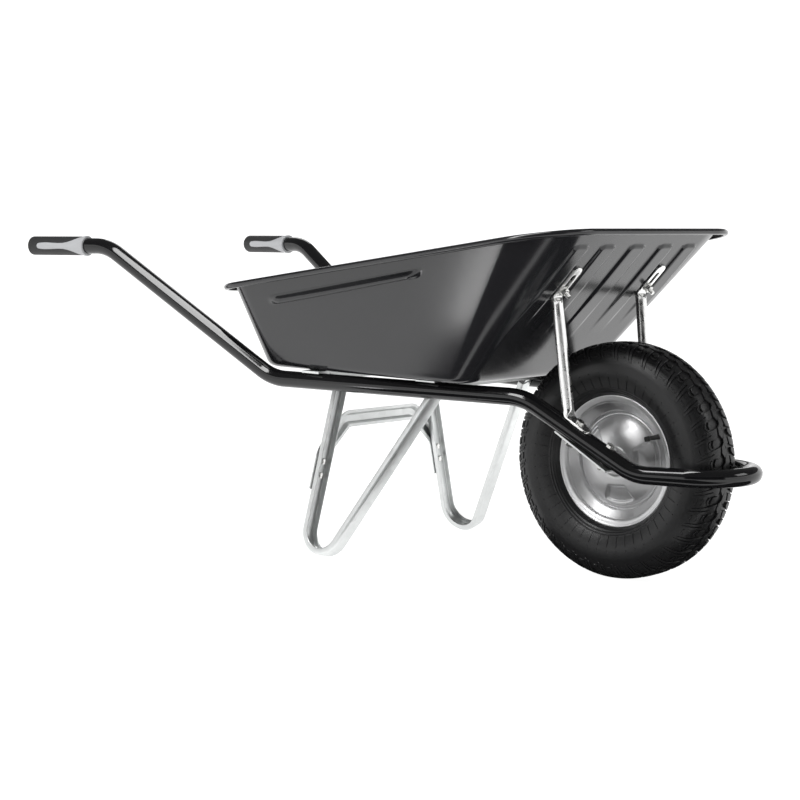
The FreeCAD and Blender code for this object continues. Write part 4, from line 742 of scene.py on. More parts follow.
def side_rib_height(props, x, down):
    """Height of the long wedge pressed into each side wall."""
    upper, lower = props.side_drop / MM, (props.side_drop + props.side_width) / MM
    share = (down - upper) / (lower - upper)
    if share < 0 or share > 1.12:
        return 0.0
    rear = -624.0 + 17.0 * share
    front = -235.6 - 15.4 * share
    ends = smoothstep(rear, rear + 12.0, x) * (1 - smoothstep(front - 12.0, front, x))
    rise = smoothstep(0.0, 0.8, share) * (1 - smoothstep(0.88, 1.1, share))
    return ends * rise * props.side_depth / MM


def make_tray(props):
    plan = stations((24, 14, 56, 46, 150))
    count = len(plan)
    low = outline(FLOOR, 0, plan, floor_height)
    high = outline(RIM, 0, plan, rim_height)
    fillet = props.floor_radius / MM
    inset = outline(FLOOR, fillet, plan, floor_height)
    rows = [inset]
    for a in range(1, 7):
        t = a / 7
        row = []
        for k in range(count):
            wall = (high[k] - low[k]).normalized()
            curve = inset[k] * (1 - t) ** 2 + low[k] * (2 * t * (1 - t))
            row.append(curve + (low[k] + wall * fillet) * t * t)
        rows.append(row)
    downs = [5, 9, 13, 17, 21, 25] + [28 + 1.8 * i for i in range(14)]
    lower_rows = 32
    levels = [("low", i / lower_rows) for i in range(lower_rows)] + [("top", d) for d in reversed(downs)]
    for kind, value in levels:
        row = []
        for k in range(count):
            span = (high[k] - low[k]).length
            wall = (high[k] - low[k]) / span
            if kind == "low":
                down = (span - fillet) - (span - fillet - downs[-1] - 4.0) * value
            else:
                down = value
            point = high[k] - wall * down
            segment, index, _ = plan[k]
            around = (low[(k + 1) % count] + high[(k + 1) % count] - low[k - 1] - high[k - 1]).normalized()
            normal = wall.cross(around).normalized()
            height = 0.0
            if point.x > -200 or index in (1, 2) and segment == "arc" or segment == "side" and index == 1:
                if normal.dot(FRONT_OUT) ** 2 > 0.35:
                    height = front_rib_height(props, point.y, down)
            if segment == "side" and index in (0, 2):
                height = side_rib_height(props, point.x, down)
            if normal.dot(Vector((point.x + 400, point.y, 0))) < 0:
                normal = -normal
            row.append(point + normal * height)
        rows.append(row)
    roll = props.roll / MM
    lip = [(1.2, -1.9), (3.2, -1.6), (6.0, -SHEET), (10.0, -SHEET), (12.2, -1.0)]
    middle = (props.flange / MM - roll - SHEET, 0.5 - roll)
    lip += [(middle[0] + roll * math.sin(a), middle[1] + roll * math.cos(a))
            for a in [math.radians(-20 + 20 * i) for i in range(13)]]
    for out, up in lip:
        rows.append([p + RIM_UP * up for p in outline(RIM, -out, plan, rim_height)])
    return sheet_solid(rows, SHEET)


def sheet_solid(rows, thickness):
    """Closed sheet from rows of points: the rows and a second skin towards the tray's inside."""
    total, count = len(rows), len(rows[0])
    inner = []
    for j in range(total):
        before, after = rows[max(j - 1, 0)], rows[min(j + 1, total - 1)]
        row = []
        for k in range(count):
            around = rows[j][(k + 1) % count] - rows[j][k - 1]
            along = after[k] - before[k]
            if j == 0:
                along = Vector((rows[j][k].x + 440, rows[j][k].y, 0))
            normal = around.cross(along).normalized()
            row.append(rows[j][k] - normal * thickness)
        inner.append(row)
    if inner[0][0].z < rows[0][0].z:
        inner = [[2 * p - q for p, q in zip(row, other)] for row, other in zip(rows, inner)]
    build = Builder()
    outer_rings = [build.ring([p * MM + AHEAD for p in row]) for row in rows]
    inner_rings = [build.ring([p * MM + AHEAD for p in row]) for row in inner]
    for rings in (outer_rings, inner_rings):
        for first, second in zip(rings, rings[1:]):
            build.bridge(first, second)
        build.faces.append(tuple(rings[0]))
    build.bridge(outer_rings[-1], inner_rings[-1])
    tray = build.piece("tray shell", 50.0)
    return dress(tray, MATERIALS["tray paint"], "tray_paint", BARROW, "tray")


# ------------------------------------------------------------------ legs and brace
def make_leg(props, sign, name, node):
    top_front = leg_point("front", 310.0, sign)
    top_rear = leg_point("rear", 315.0, sign)
    height = (LEG_LINES["front"][0] - LEG_LINES["rear"][0]) / (LEG_LINES["rear"][1] - LEG_LINES["front"][1])
    apex = leg_point("rear", height, sign)
    path = bend_path([top_rear, apex, top_front], [props.bend / MM], 2.5)
    across = Vector((0, 1, sign * LEG_SPLAY)).normalized()
    half, deep, wall = props.width / MM / 2, props.depth / MM / 2, props.sheet / MM
    inner = half - wall
    corners = [(-half, -deep), (half, -deep), (half, deep), (inner, deep), (inner, wall - deep),
               (-inner, wall - deep), (-inner, deep), (-half, deep)]
    radii = [4.2, 4.2, 1.0, 1.0, 1.8, 1.8, 1.0, 1.0]
    leg = sweep(name, path, rounded_outline(corners, radii, 4), across, 40.0)
    return dress(leg, MATERIALS["galvanised"], "galvanised", BARROW, node)


def rear_face(z):
    """Rear face of the rear arms, on the middle plane, with the brace's clearance."""
    foot, lean = LEG_LINES["rear"]
    return foot + lean * z - 6.0 - 0.25


def make_brace(props):
    low, knee, top = 116.0, 184.0, props.height / MM
    half = props.level_half / MM
    right = [Vector((0, -leg_half(low), low)), Vector((0, -leg_half(knee), knee)), Vector((0, -half, top))]
    left = [mirror(p) for p in reversed(right)]
    flat = bend_path(right + left, [45.0, 22.0, 22.0, 45.0], 2.5)
    path = [(Vector((rear_face(p.z), p.y, p.z)), t) for p, t in flat]
    wide, wall, crown = props.width / MM / 2, props.sheet / MM, props.crown / MM
    length = [0.0]
    for (a, _), (b, _) in zip(path, path[1:]):
        length.append(length[-1] + (b - a).length)
    build = Builder()
    rings = []
    for k, (point, tangent) in enumerate(path):
        from_end = min(length[k], length[-1] - length[k])
        rise = crown * smoothstep(64.0, 84.0, from_end)
        back = Vector((-1, 0, 0))
        up = tangent.cross(back).normalized()
        if up.z < 0 and abs(tangent.y) > 0.5:
            up = -up
        inner = wide - 7.0
        half_line = [(wide, 0.0), (inner + 1.5, 0.0), (inner - 0.8, rise * 0.5), (inner - 2.6, rise)]
        front = half_line + [(-w, d) for w, d in reversed(half_line)]
        rear = [(w + (wall * 0.45 if 0 < i < 7 else 0) * (1 if w > 0 else -1), d + wall)
                for i, (w, d) in enumerate(front)]
        ring = [point + up * w + back * d for w, d in front + rear[::-1]]
        rings.append([p * MM + AHEAD for p in ring])
    build.skin(rings)
    brace = build.piece("leg brace", 30.0)
    return dress(brace, MATERIALS["galvanised"], "galvanised", BARROW, "leg_brace")


# ------------------------------------------------------------------ stays
def plate_with_slot(name, seat, out, lengthwise, behind, ahead, half, slot, thickness, hole=4.3):
    """Flat bar end with a round tip and a hole or slot, its lower face on the seat."""
    curve = bpy.data.curves.new(name, "CURVE")
    curve.dimensions = "2D"
    curve.fill_mode = "BOTH"
    bevel = 0.4
    curve.extrude = (thickness / 2 - bevel) * MM
    curve.bevel_depth = bevel * MM
    curve.bevel_resolution = 2
    rim = half - bevel
    outer = [(-behind, -rim)]
    outer += [(ahead - half + rim * math.cos(a), rim * math.sin(a))
              for a in [math.radians(-90 + 10 * i) for i in range(19)]]
    outer += [(-behind, rim)]
    wide = hole + bevel
    inner = [(wide * math.cos(a), wide * math.sin(a)) for a in [math.radians(90 + 15 * i) for i in range(13)]]
    inner += [(slot + wide * math.cos(a), wide * math.sin(a))
              for a in [math.radians(-90 + 15 * i) for i in range(13)]]
    for points in (outer, inner):
        spline = curve.splines.new("POLY")
        spline.points.add(len(points) - 1)
        for item, (u, v) in zip(spline.points, points):
            item.co = (u * MM, v * MM, 0, 1)
        spline.use_cyclic_u = True
    obj = new_object(name, curve)
    across = out.cross(lengthwise).normalized()
    centre = (seat + out * (thickness / 2)) * MM + AHEAD
    matrix = Matrix((lengthwise, across, out)).transposed().to_4x4()
    matrix.translation = centre
    plain = keep_plain(obj, name)
    plain.data.transform(matrix)
    return plain


def join(name, objects, smooth_angle=35.0):
    """One plain mesh from several, each with its own closed surface."""
    build = Builder()
    for obj in objects:
        start = len(build.verts)
        build.verts.extend([v.co.copy() for v in obj.data.vertices])
        build.faces.extend([tuple(start + i for i in p.vertices) for p in obj.data.polygons])
        bpy.data.objects.remove(obj, do_unlink=True)
    return build.piece(name, smooth_angle)


def make_stay(props, sign, name, node):
    thick = props.plate / MM
    half = props.plate_width / MM / 2
    foot = on_tube(-18.0)
    foot_seat = Vector((foot.x, sign * foot.y, foot.z)) + SLOPE_UP * TUBE
    wall_seat = Vector((WALL_BOLT.x, sign * STAY_HALF, WALL_BOLT.z))
    wall_up = -FRONT_DOWN
    low_mid = foot_seat + SLOPE_UP * (thick / 2)
    top_mid = wall_seat + FRONT_OUT * (thick / 2)
    low_corner = low_mid - SLOPE_RUN * 24.0
    top_corner = top_mid - wall_up * 17.0
    path = bend_path([low_mid - SLOPE_RUN * 9.0, low_corner, top_corner, top_mid - wall_up * 6.0],
                     [11.0, 11.0], 1.5)
    spaced = [path[0]]
    for a, b in zip(path, path[1:]):
        gap = (b[0] - a[0]).length
        steps = max(1, int(gap / 2.0))
        spaced += [(a[0].lerp(b[0], k / steps), b[1] if k == steps else a[1]) for k in range(1, steps + 1)]
    length = [0.0]
    for (a, _), (b, _) in zip(spaced, spaced[1:]):
        length.append(length[-1] + (b - a).length)
    radius = props.radius / MM

    def section(k, total):
        near = smoothstep(9.0, 27.0, length[k])
        far = smoothstep(7.0, 22.0, length[-1] - length[k])
        full = min(near, far)
        wide = half - (half - radius) * full
        flat = thick / 2 + (radius - thick / 2) * full
        power = 2.0 / (2.0 + 5.0 * (1 - full))
        ring = []
        for i in range(32):
            a = 2 * math.pi * i / 32
            c, s = math.cos(a), math.sin(a)
            ring.append((math.copysign(abs(c) ** power, c) * wide, math.copysign(abs(s) ** power, s) * flat))
        return ring

    bar = sweep(name + " bar", spaced, section, (0, 1, 0), 50.0)
    top = plate_with_slot(name + " top", wall_seat, FRONT_OUT, wall_up, 8.0, 50.0, half, 30.0, thick)
    low = plate_with_slot(name + " foot", foot_seat, SLOPE_UP, SLOPE_RUN, 10.0, 26.0, half, 0.0, thick)
    stay = join(name, [bar, top, low])
    return dress(stay, MATERIALS["bright zinc"], "galvanised", BARROW, node)


# ------------------------------------------------------------------ fasteners
def hex_radius(corner, angle):
    """Distance from the middle of a hexagon to its edge at an angle."""
    flat = corner * math.cos(math.pi / 6)
    return flat / math.cos((angle % (math.pi / 3)) - math.pi / 6)


def hex_rings(corner, low, high, washer=True):
    """Rings of a hexagon with a washer face below and a chamfered crown."""
    angles = [math.radians(15 * k) for k in range(24)]
    flat = corner * math.cos(math.pi / 6)

    def ring(radius_at, height_at):
        return [Vector((radius_at(a) * math.cos(a), radius_at(a) * math.sin(a), height_at(a))) * MM
                for a in angles]

    def outline(a):
        return hex_radius(corner, a)

    def shoulder(a):
        return high - 0.55 * (outline(a) - flat * 0.96)

    rings = []
    if washer:
        rings.append(ring(lambda a: flat * 0.95, lambda a: low))
        rings.append(ring(lambda a: flat * 0.95, lambda a: low + 0.35))
    rings.append(ring(outline, lambda a: low + (0.35 if washer else 0.0)))
    rings.append(ring(outline, shoulder))
    rings.append(ring(lambda a: flat * 0.95, lambda a: high))
    return rings


def thread_rings(radius, start, end, pitch=1.25):
    """Rings of a plain shank from start that ends in a thread, along -Z or +Z."""
    step = pitch if end > start else -pitch
    turns = max(1, int(min(abs(end - start), 12.0) / pitch) - 1)
    levels = [(start, radius)]
    first = end - turns * step - 0.6 * step
    levels.append((first, radius))
    for k in range(turns):
        levels.append((first + (k + 0.5) * step, radius * 0.86))
        levels.append((first + (k + 1) * step, radius))
    levels.append((end, radius * 0.8))
    angles = [math.radians(15 * k) for k in range(24)]
    return [[Vector((r * math.cos(a), r * math.sin(a), z)) * MM for a in angles] for z, r in levels]


def bolt_shape(corner, head, radius, reach):
    """Hex bolt: head above the seat at the origin, threaded shank below."""
    build = Builder()
    build.skin(hex_rings(corner, 0.0, head))
    build.skin(thread_rings(radius, 0.5, -reach))
    return build.piece("bolt", 30.0)


def nut_shape(corner, height, bore, low=0.0):
    """Hex nut with a chamfered bore, open all the way through."""
    outer = hex_rings(corner, low, low + height)
    angles = [math.radians(15 * k) for k in range(24)]

    def ring(radius, z):
        return [Vector((radius * math.cos(a), radius * math.sin(a), z)) * MM for a in angles]

    rings = outer + [ring(bore + 0.7, low + height), ring(bore, low + height - 0.7), ring(bore, low + 0.7),
                     ring(bore + 0.7, low)]
    build = Builder()
    indices = build.skin(rings, cap=False)
    build.bridge(indices[-1], indices[0])
    return build.piece("nut", 30.0)


def washer_shape(outer, inner, thick):
    angles = [math.radians(12 * k) for k in range(30)]
    edge = 0.25
    levels = [(inner, 0.0), (outer - edge, 0.0), (outer, edge), (outer, thick - edge), (outer - edge, thick),
              (inner, thick)]
    build = Builder()
    rings = [[Vector((r * math.cos(a), r * math.sin(a), z)) * MM for a in angles] for r, z in levels]
    indices = build.skin(rings, cap=False)
    build.bridge(indices[-1], indices[0])
    return build.piece("washer", 30.0)


def world(point):
    return point * MM + AHEAD


def deck_seats():
    """Points of the tray's underside over the leg tabs."""
    seats = []
    for x in MEMBER_X:
        height = floor_height(x)
        half = leg_half(height) - 26.0
        seats += [Vector((x, -half, height)), Vector((x, half, height))]
    return seats


def slope_seats():
    """Tube centres where the brackets are bolted, with the stay's thickness on top."""
    seats = []
    for x, lift in ((-18.0, PLATE), (38.0, 0.0)):
        centre = on_tube(x)
        seats += [(mirror(centre), lift), (centre, lift)]
    return seats


def brace_seats():
    """Rear faces of the rear arms at the brace's bolts, with their outward direction."""
    seats = []
    run = (leg_point("rear", 300.0) - leg_point("rear", 0.0)).normalized()
    across = Vector((0, 1, LEG_SPLAY)).normalized()
    out = run.cross(across).normalized()
    if out.x > 0:
        out = -out
    for z in (167.0, 142.0):
        left = leg_point("rear", z) + out * 6.0
        seats += [(mirror(left), mirror(out)), (left, out)]
    return seats


def make_fasteners(props):
    corner, head, nut, radius = (props.head_width / MM / math.sqrt(3), props.head_height / MM,
                                 props.nut_height / MM, 4.0)
    plate = PLATE + 2.5

    def group(name, shape, seats, node):
        obj = on_seats(name, [(world(p), out) for p, out in seats], shape, "fastener zinc")
        dress(obj, MATERIALS["fastener zinc"], "fastener", BARROW, node)

    deck = deck_seats()
    group("tray bolts", bolt_shape(corner, head, radius, plate + SHEET + nut + 2.0),
          [(p + DECK_UP * SHEET, DECK_UP) for p in deck], "tray_bolts")
    group("tray nuts", nut_shape(corner, nut, radius + 0.05),
          [(p - DECK_UP * plate, -DECK_UP) for p in deck], "tray_nuts")
    heads = []
    tails = []
    for centre, lift in slope_seats():
        heads.append((centre + SLOPE_UP * (TUBE + lift), SLOPE_UP))
        tails.append((centre - SLOPE_UP * (TUBE + 3.0), -SLOPE_UP))
    group("bracket bolts", bolt_shape(corner, head, radius, 2 * TUBE + 3.0 + nut + 4.0), heads,
          "bracket_bolts")
    group("bracket nuts", nut_shape(corner, nut, radius + 0.05), tails, "bracket_nuts")
    walls = [Vector((WALL_BOLT.x, side * STAY_HALF, WALL_BOLT.z)) for side in (-1, 1)]
    group("wall bolts", bolt_shape(corner, head, radius, SHEET + PLATE + 1.6 + nut + 9.0),
          [(p - FRONT_OUT * SHEET, -FRONT_OUT) for p in walls], "stay_top_bolts")
    group("wall washers", washer_shape(9.0, 4.05, 1.6), [(p + FRONT_OUT * PLATE, FRONT_OUT) for p in walls],
          "stay_top_washers")
    group("wall nuts", nut_shape(corner, nut, radius + 0.05),
          [(p + FRONT_OUT * (PLATE + 1.6), FRONT_OUT) for p in walls], "stay_top_nuts")
    brace = brace_seats()
    group("brace bolts", bolt_shape(5.8, 4.0, 3.0, 2.5 + 2.5 + 5.0 + 2.0),
          [(p - out * 2.5, -out) for p, out in brace], "brace_bolts")
    group("brace nuts", nut_shape(5.8, 5.0, 3.05), [(p + out * 3.0, out) for p, out in brace], "brace_nuts")


# ------------------------------------------------------------------ tyre
TREAD_TOP = [(200.0, 0.0), (200.0, 9.0), (199.6, 17.0), (198.8, 24.0), (197.0, 31.0), (194.3, 36.0),
             (191.0, 40.0), (186.0, 43.6), (180.0, 46.0), (173.0, 48.0), (166.0, 49.2), (160.0, 49.7),
             (154.0, 49.8), (148.0, 49.3), (140.0, 47.6), (132.0, 44.8), (126.0, 42.2), (121.0, 39.6),
             (117.0, 36.8), (114.2, 33.8), (112.4, 30.6)]
TREAD_DEPTH = [(0.0, 3.8), (24.0, 3.6), (34.0, 2.9), (44.0, 2.1), (54.0, 1.5), (62.0, 0.9), (70.0, 0.0)]
RIDGES = (116.6, 120.4, 124.2)


def smooth_line(points, step):
    """Catmull-Rom line through points, resampled at equal steps."""
    dense = []
    total = len(points)
    for i in range(total - 1):
        p0, p1 = Vector(points[max(i - 1, 0)]), Vector(points[i])
        p2, p3 = Vector(points[i + 1]), Vector(points[min(i + 2, total - 1)])
        for k in range(12):
            t = k / 12
            dense.append(0.5 * (2 * p1 + (p2 - p0) * t + (2 * p0 - 5 * p1 + 4 * p2 - p3) * t * t
                                + (3 * p1 - p0 - 3 * p2 + p3) * t ** 3))
    dense.append(Vector(points[-1]))
    out = [dense[0]]
    left = step
    for a, b in zip(dense, dense[1:]):
        length = (b - a).length
        while length > 0 and left <= length:
            a = a.lerp(b, left / length)
            length -= left
            left = step
            out.append(a.copy())
        left -= length
    if (out[-1] - dense[-1]).length > step * 0.3:
        out.append(dense[-1])
    return out


CROWN = smooth_line(TREAD_TOP, 1.0)


def tread_depth(v):
    for (v0, h0), (v1, h1) in zip(TREAD_DEPTH, TREAD_DEPTH[1:]):
        if v <= v1:
            return h0 + (h1 - h0) * (v - v0) / (v1 - v0)
    return 0.0


def crown_point(v, lift):
    """Section point (radius, y) at a distance v across from the middle, lift above the carcass."""
    across = abs(v)
    index = min(int(across), len(CROWN) - 2)
    point = CROWN[index].lerp(CROWN[index + 1], min(across - index, 1.0))
    before, after = CROWN[max(index - 1, 0)], CROWN[min(index + 2, len(CROWN) - 1)]
    run = (after - before).normalized()
    normal = Vector((run.y, -run.x))
    if index < 2:
        normal = Vector((1, 0))
    point = point + normal * (lift - tread_depth(across))
    return point.x, math.copysign(point.y, v) if v else 0.0


def wheel_point(u, v, lift):
    """Point of the tyre's surface: u along the tread at the crown, v across it."""
    r, y = crown_point(v, lift)
    angle = u / WHEEL_RADIUS
    return AXLE + Vector((r * math.cos(angle), y, r * math.sin(angle))) * MM


def carcass_profile():
    """Closed tyre section with fine rings beside the bead."""
    outside = []
    total = len(CROWN) - 1
    v = 0.0
    while v < total - 0.5:
        r, y = crown_point(v, 0.0)
        for ridge in RIDGES:
            y += 0.7 * math.exp(-((r - ridge) / 0.8) ** 2)
        outside.append((r, y))
        v += 1.1 if outside[-1][0] < 128 else 2.6
    outside.append((112.3, 30.5))
    inside = [(111.0, 29.0), (108.0, 27.0), (103.0, 25.6), (101.5, 23.0), (101.5, 20.2), (105.0, 18.8),
              (110.0, 21.5), (130.0, 41.0), (153.0, 45.0), (176.0, 38.0), (185.0, 25.0), (188.0, 0.0)]
    half = outside + inside
    other = [(r, -y) for r, y in reversed(half[1:-1])]
    return half + other


def lug(build, corners, base=-0.6, rise=None, cell=4.0):
    """Raised block over a 2-D outline (u, v), cut in strips so that it follows the tyre."""
    flat = bmesh.new()
    flat.faces.new([flat.verts.new((u, v, 0)) for u, v in corners])
    low_u, high_u = min(c[0] for c in corners), max(c[0] for c in corners)
    low_v, high_v = min(c[1] for c in corners), max(c[1] for c in corners)
    for axis, low, high in (((1, 0, 0), low_u, high_u), ((0, 1, 0), low_v, high_v)):
        pieces = int((high - low) / cell)
        for k in range(1, pieces + 1):
            place = low + (high - low) * k / (pieces + 1)
            where = (place, 0, 0) if axis[0] else (0, place, 0)
            bmesh.ops.bisect_plane(flat, geom=flat.verts[:] + flat.edges[:] + flat.faces[:], dist=1e-4,
                                   plane_co=where, plane_no=axis)
    flat.verts.index_update()
    middle = Vector(((low_u + high_u) / 2, (low_v + high_v) / 2))
    rim = {v.index for e in flat.edges if len(e.link_faces) == 1 for v in e.verts}
    start = len(build.verts)
    count = len(flat.verts)
    for level in range(3):
        for vert in flat.verts:
            u, v = vert.co.x, vert.co.y
            depth = tread_depth(abs(v)) if rise is None else rise
            lift = (base, depth - 0.5, depth)[level]
            if level == 2 and vert.index in rim:
                away = Vector((u, v)) - middle
                pull = min(0.5, away.length * 0.3)
                u, v = Vector((u, v)) - away.normalized() * pull
            build.verts.append(wheel_point(u, v, lift))
    for face in flat.faces:
        ring = [v.index for v in face.verts]
        build.faces.append(tuple(start + 2 * count + i for i in ring))
        build.faces.append(tuple(start + i for i in reversed(ring)))
    for edge in flat.edges:
        if len(edge.link_faces) == 1:
            a, b = edge.verts[0].index, edge.verts[1].index
            for level in range(2):
                build.faces.append((start + level * count + a, start + level * count + b,
                                    start + (level + 1) * count + b, start + (level + 1) * count + a))
    flat.free()


def strip(points, width):
    """Outline of a bar of even width along a line."""
    line = [Vector(p) for p in points]
    left, right = [], []
    for i, point in enumerate(line):
        run = (line[min(i + 1, len(line) - 1)] - line[max(i - 1, 0)]).normalized()
        side = Vector((-run.y, run.x)) * (width / 2)
        left.append(tuple(point + side))
        right.append(tuple(point - side))
    return left + right[::-1]


def lean(v):
    """Sideways lean of the shoulder blocks as they run out to the side wall."""
    return -0.20 * (v - 14.0) - 0.0026 * (v - 14.0) ** 2


def tread_pitch(side):
    """One pitch of the tread on one side: a split shoulder lug, a ribbed pocket and a leaf block."""
    build = Builder()

    def shifted(outline_points):
        return [(u + lean(abs(v)), v * side) for u, v in outline_points]

    lug(build, shifted([(-6.6, 15.5), (6.2, 13.0), (6.8, 29.0), (5.4, 44.0), (1.2, 44.0), (1.0, 30.0),
                        (-1.0, 30.0), (-1.2, 44.0), (-5.6, 44.0), (-6.8, 29.0)]))
    lug(build, shifted(strip([(-3.4, 43.0), (-3.2, 52.0), (-2.8, 63.0)], 4.6)))
    lug(build, shifted(strip([(3.4, 43.0), (3.2, 51.0), (2.8, 60.0)], 4.4)))
    lug(build, shifted(strip([(9.2, 55.5), (15.7, 56.4), (22.4, 55.5)], 2.6)), rise=1.3)
    lug(build, shifted(strip([(9.4, 47.0), (12.6, 44.6), (15.8, 43.8), (19.0, 44.6), (22.2, 47.0)], 2.0)),
        rise=1.3)
    lug(build, shifted(strip([(9.4, 34.0), (12.6, 36.4), (15.8, 37.2), (19.0, 36.4), (22.2, 34.0)], 2.4)),
        rise=2.7)
    lug(build, shifted([(9.6, 30.0), (11.0, 20.5), (15.8, 17.0), (20.8, 18.5), (22.4, 28.0), (15.8, 31.5)]))
    lug(build, [(-12.5, 3.0 * side), (-4.0, 10.6 * side), (6.5, 9.4 * side), (12.5, 2.2 * side),
                (3.0, -1.6 * side), (-5.0, -2.2 * side)])
    piece = build.piece("tread pitch", 30.0)
    piece.data.transform(Matrix.Translation(-AXLE))
    return piece


def wall_rib(side):
    """One fine moulding line of the side wall with its vent mark."""
    build = Builder()
    for low, high, width in ((124.5, 143.0, 1.1), (149.2, 150.8, 1.6)):
        inner = crown_at_radius(low)
        outer = crown_at_radius(high)
        lug(build, [(-width / 2 * WHEEL_RADIUS / low, inner * side),
                    (-width / 2 * WHEEL_RADIUS / high, outer * side),
                    (width / 2 * WHEEL_RADIUS / high, outer * side),
                    (width / 2 * WHEEL_RADIUS / low, inner * side)], base=-0.4, rise=0.8)
    piece = build.piece("side rib", 30.0)
    piece.data.transform(Matrix.Translation(-AXLE))
    return piece


def crown_at_radius(radius):
    """Distance across the section where the side wall has this radius."""
    for index in range(len(CROWN) - 1, 40, -1):
        if CROWN[index].x >= radius:
            return float(index)
    return 60.0


def ring_of(name, piece, count, phase):
    return run_tree(piece, "ring", name, Count=count, Phase=phase, Centre=tuple(AXLE),
                    Material=MATERIALS["tyre rubber"])


def make_tyre(props):
    count = props.pitches
    tyre = turned("tyre body", carcass_profile(), 240, smooth_angle=45.0)
    dress(tyre, MATERIALS["tyre rubber"], "tyre", WHEEL, "tyre")
    for side, phase, label in ((-1, 0.0, "right"), (1, 0.5 / count, "left")):
        tread = ring_of("tread " + label, tread_pitch(side), count, phase)
        dress(tread, MATERIALS["tyre rubber"], "tyre", WHEEL)
        ribs = ring_of("side ribs " + label, wall_rib(side), props.side_lines, 0.0)
        dress(ribs, MATERIALS["tyre rubber"], "tyre", WHEEL)


# ------------------------------------------------------------------ rim and valve
def rim_profile():
    """Closed section of the rim ring: rolled lip, seat, well and mirrored half."""
    outside = [(86.0, 0.0), (86.0, 10.4), (87.2, 12.2), (99.6, 18.4), (101.0, 19.8), (101.0, 23.4),
               (102.4, 25.6), (104.6, 26.4), (108.4, 26.8), (110.6, 27.6), (111.5, 28.8)]
    inside = [(111.3, 29.7), (110.4, 30.0), (109.2, 30.0), (108.0, 29.2), (105.6, 28.5), (102.8, 27.8),
              (100.2, 26.4), (99.0, 24.6), (99.0, 20.6), (98.0, 19.6), (86.0, 13.2), (84.4, 12.0),
              (84.0, 10.6)]
    half = outside + inside
    return half + [(r, -y) for r, y in reversed(half[1:])]


def make_rim(props):
    ring = turned("rim ring", rim_profile(), 200, smooth_angle=50.0)
    pieces = [ring]
    for side in (-1, 1):
        knots = [(84.05, 4.0), (82.6, 4.2), (81.4, 5.2), (80.4, 6.9), (79.4, 7.6), (78.4, 7.2), (77.2, 8.4),
                 (75.0, 10.8), (71.0, 13.6), (66.0, 16.4), (60.0, 19.2), (54.0, 21.4), (48.0, 23.2),
                 (42.0, 24.5), (36.0, 25.4), (30.0, 25.9), (26.0, 26.0), (23.5, 27.4), (20.0, 28.0),
                 (18.55, 28.0)]
        skin = smooth_line(knots, 1.6)
        back = [(r, y - 1.6) for r, y in reversed(skin)]
        profile = [(r, y * side) for r, y in [tuple(p) for p in skin] + back]
        depth = props.pocket_depth / MM

        def bulge(index, r, y, angle, side=side, depth=depth):
            return -side * depth * pocket(r, angle if side < 0 else -angle)

        pieces.append(turned("dome", profile, 288, bulge, 50.0))
    rim = join("wheel rim", pieces, 40.0)
    return dress(rim, MATERIALS["rim zinc"], "rim_zinc", WHEEL, "wheel_rim")


def pocket(r, angle):
    """Depth share of the three pressed pockets of the dome."""
    total = 0.0
    places = ((8.0, 26.0, 36.0, 74.0), (152.0, 24.0, 38.0, 72.0), (272.0, 25.0, 40.0, 72.0))
    for middle, half, inner, outer in places:
        off = abs((math.degrees(angle) - middle + 180.0) % 360.0 - 180.0)
        edge = half - off
        across = math.radians(edge) * r
        near = r - inner - 3.0 * (off / half) ** 2
        far = outer - r
        share = smoothstep(0.0, 5.5, across) * smoothstep(0.0, 7.0, near) * smoothstep(0.0, 5.0, far)
        total = max(total, share)
    return total


def spindle(name, root, direction, profile, segments=28, flutes=0):
    """Body turned about any line; profile is (distance along, radius) in mm."""
    direction = Vector(direction).normalized()
    side = direction.orthogonal().normalized()
    up = direction.cross(side)
    build = Builder()
    rings = []
    for along, radius in profile:
        ring = []
        for k in range(segments):
            angle = 2 * math.pi * k / segments
            r = radius - (0.25 if flutes and k % 2 else 0.0)
            spoke = side * (r * math.cos(angle)) + up * (r * math.sin(angle))
            ring.append(world(root + direction * along + spoke))
        rings.append(ring)
    build.skin(rings)
    return build.piece(name, 35.0)


def make_valve(props):
    turn, distance = math.radians(29.6), 86.0 + 9.2
    root = Vector((distance * math.cos(turn), -16.0, 200.0 + distance * math.sin(turn)))
    run = Vector((-21.8, -14.0, -6.0)).normalized()
    reach, radius = props.reach / MM, props.radius / MM
    stem = spindle("valve stem", root, run,
                   [(-6.0, radius - 0.6), (-5.0, radius), (4.0, radius + 0.6), (6.0, radius),
                    (10.0, radius - 0.2), (reach - 9.4, radius - 0.3)])
    dress(stem, MATERIALS["valve rubber"], "valve_rubber", WHEEL, "valve_stem")
    cap = spindle("valve cap", root, run,
                  [(reach - 9.0, radius), (reach - 8.6, radius + 0.5), (reach - 1.2, radius + 0.4),
                   (reach, radius - 0.6)], 32, 16)
    dress(cap, MATERIALS["valve rubber"], "valve_cap", WHEEL, "valve_cap")


# ------------------------------------------------------------------ carried-over nodes
KEPT = {
    "galvanised": ("cross_member_front", "cross_member_rear", "axle_bracket_right", "axle_bracket_left"),
    "fastener zinc": ("frame_screws", "frame_inserts", "axle_nuts"),
    "axle steel": ("axle_shaft", "axle_spacers", "bearing_right", "bearing_left"),
    "rim zinc": ("hub_tube",),
    "grip sleeve": ("grip_sleeve_right", "grip_sleeve_left"),
    "grip rubber": ("grip_cover_right", "grip_cover_left"),
}


def finish_kept_nodes():
    for material, names in KEPT.items():
        for name in names:
            mesh = frame["nodes"][name].data
            mesh.materials.clear()
            mesh.materials.append(MATERIALS[material])


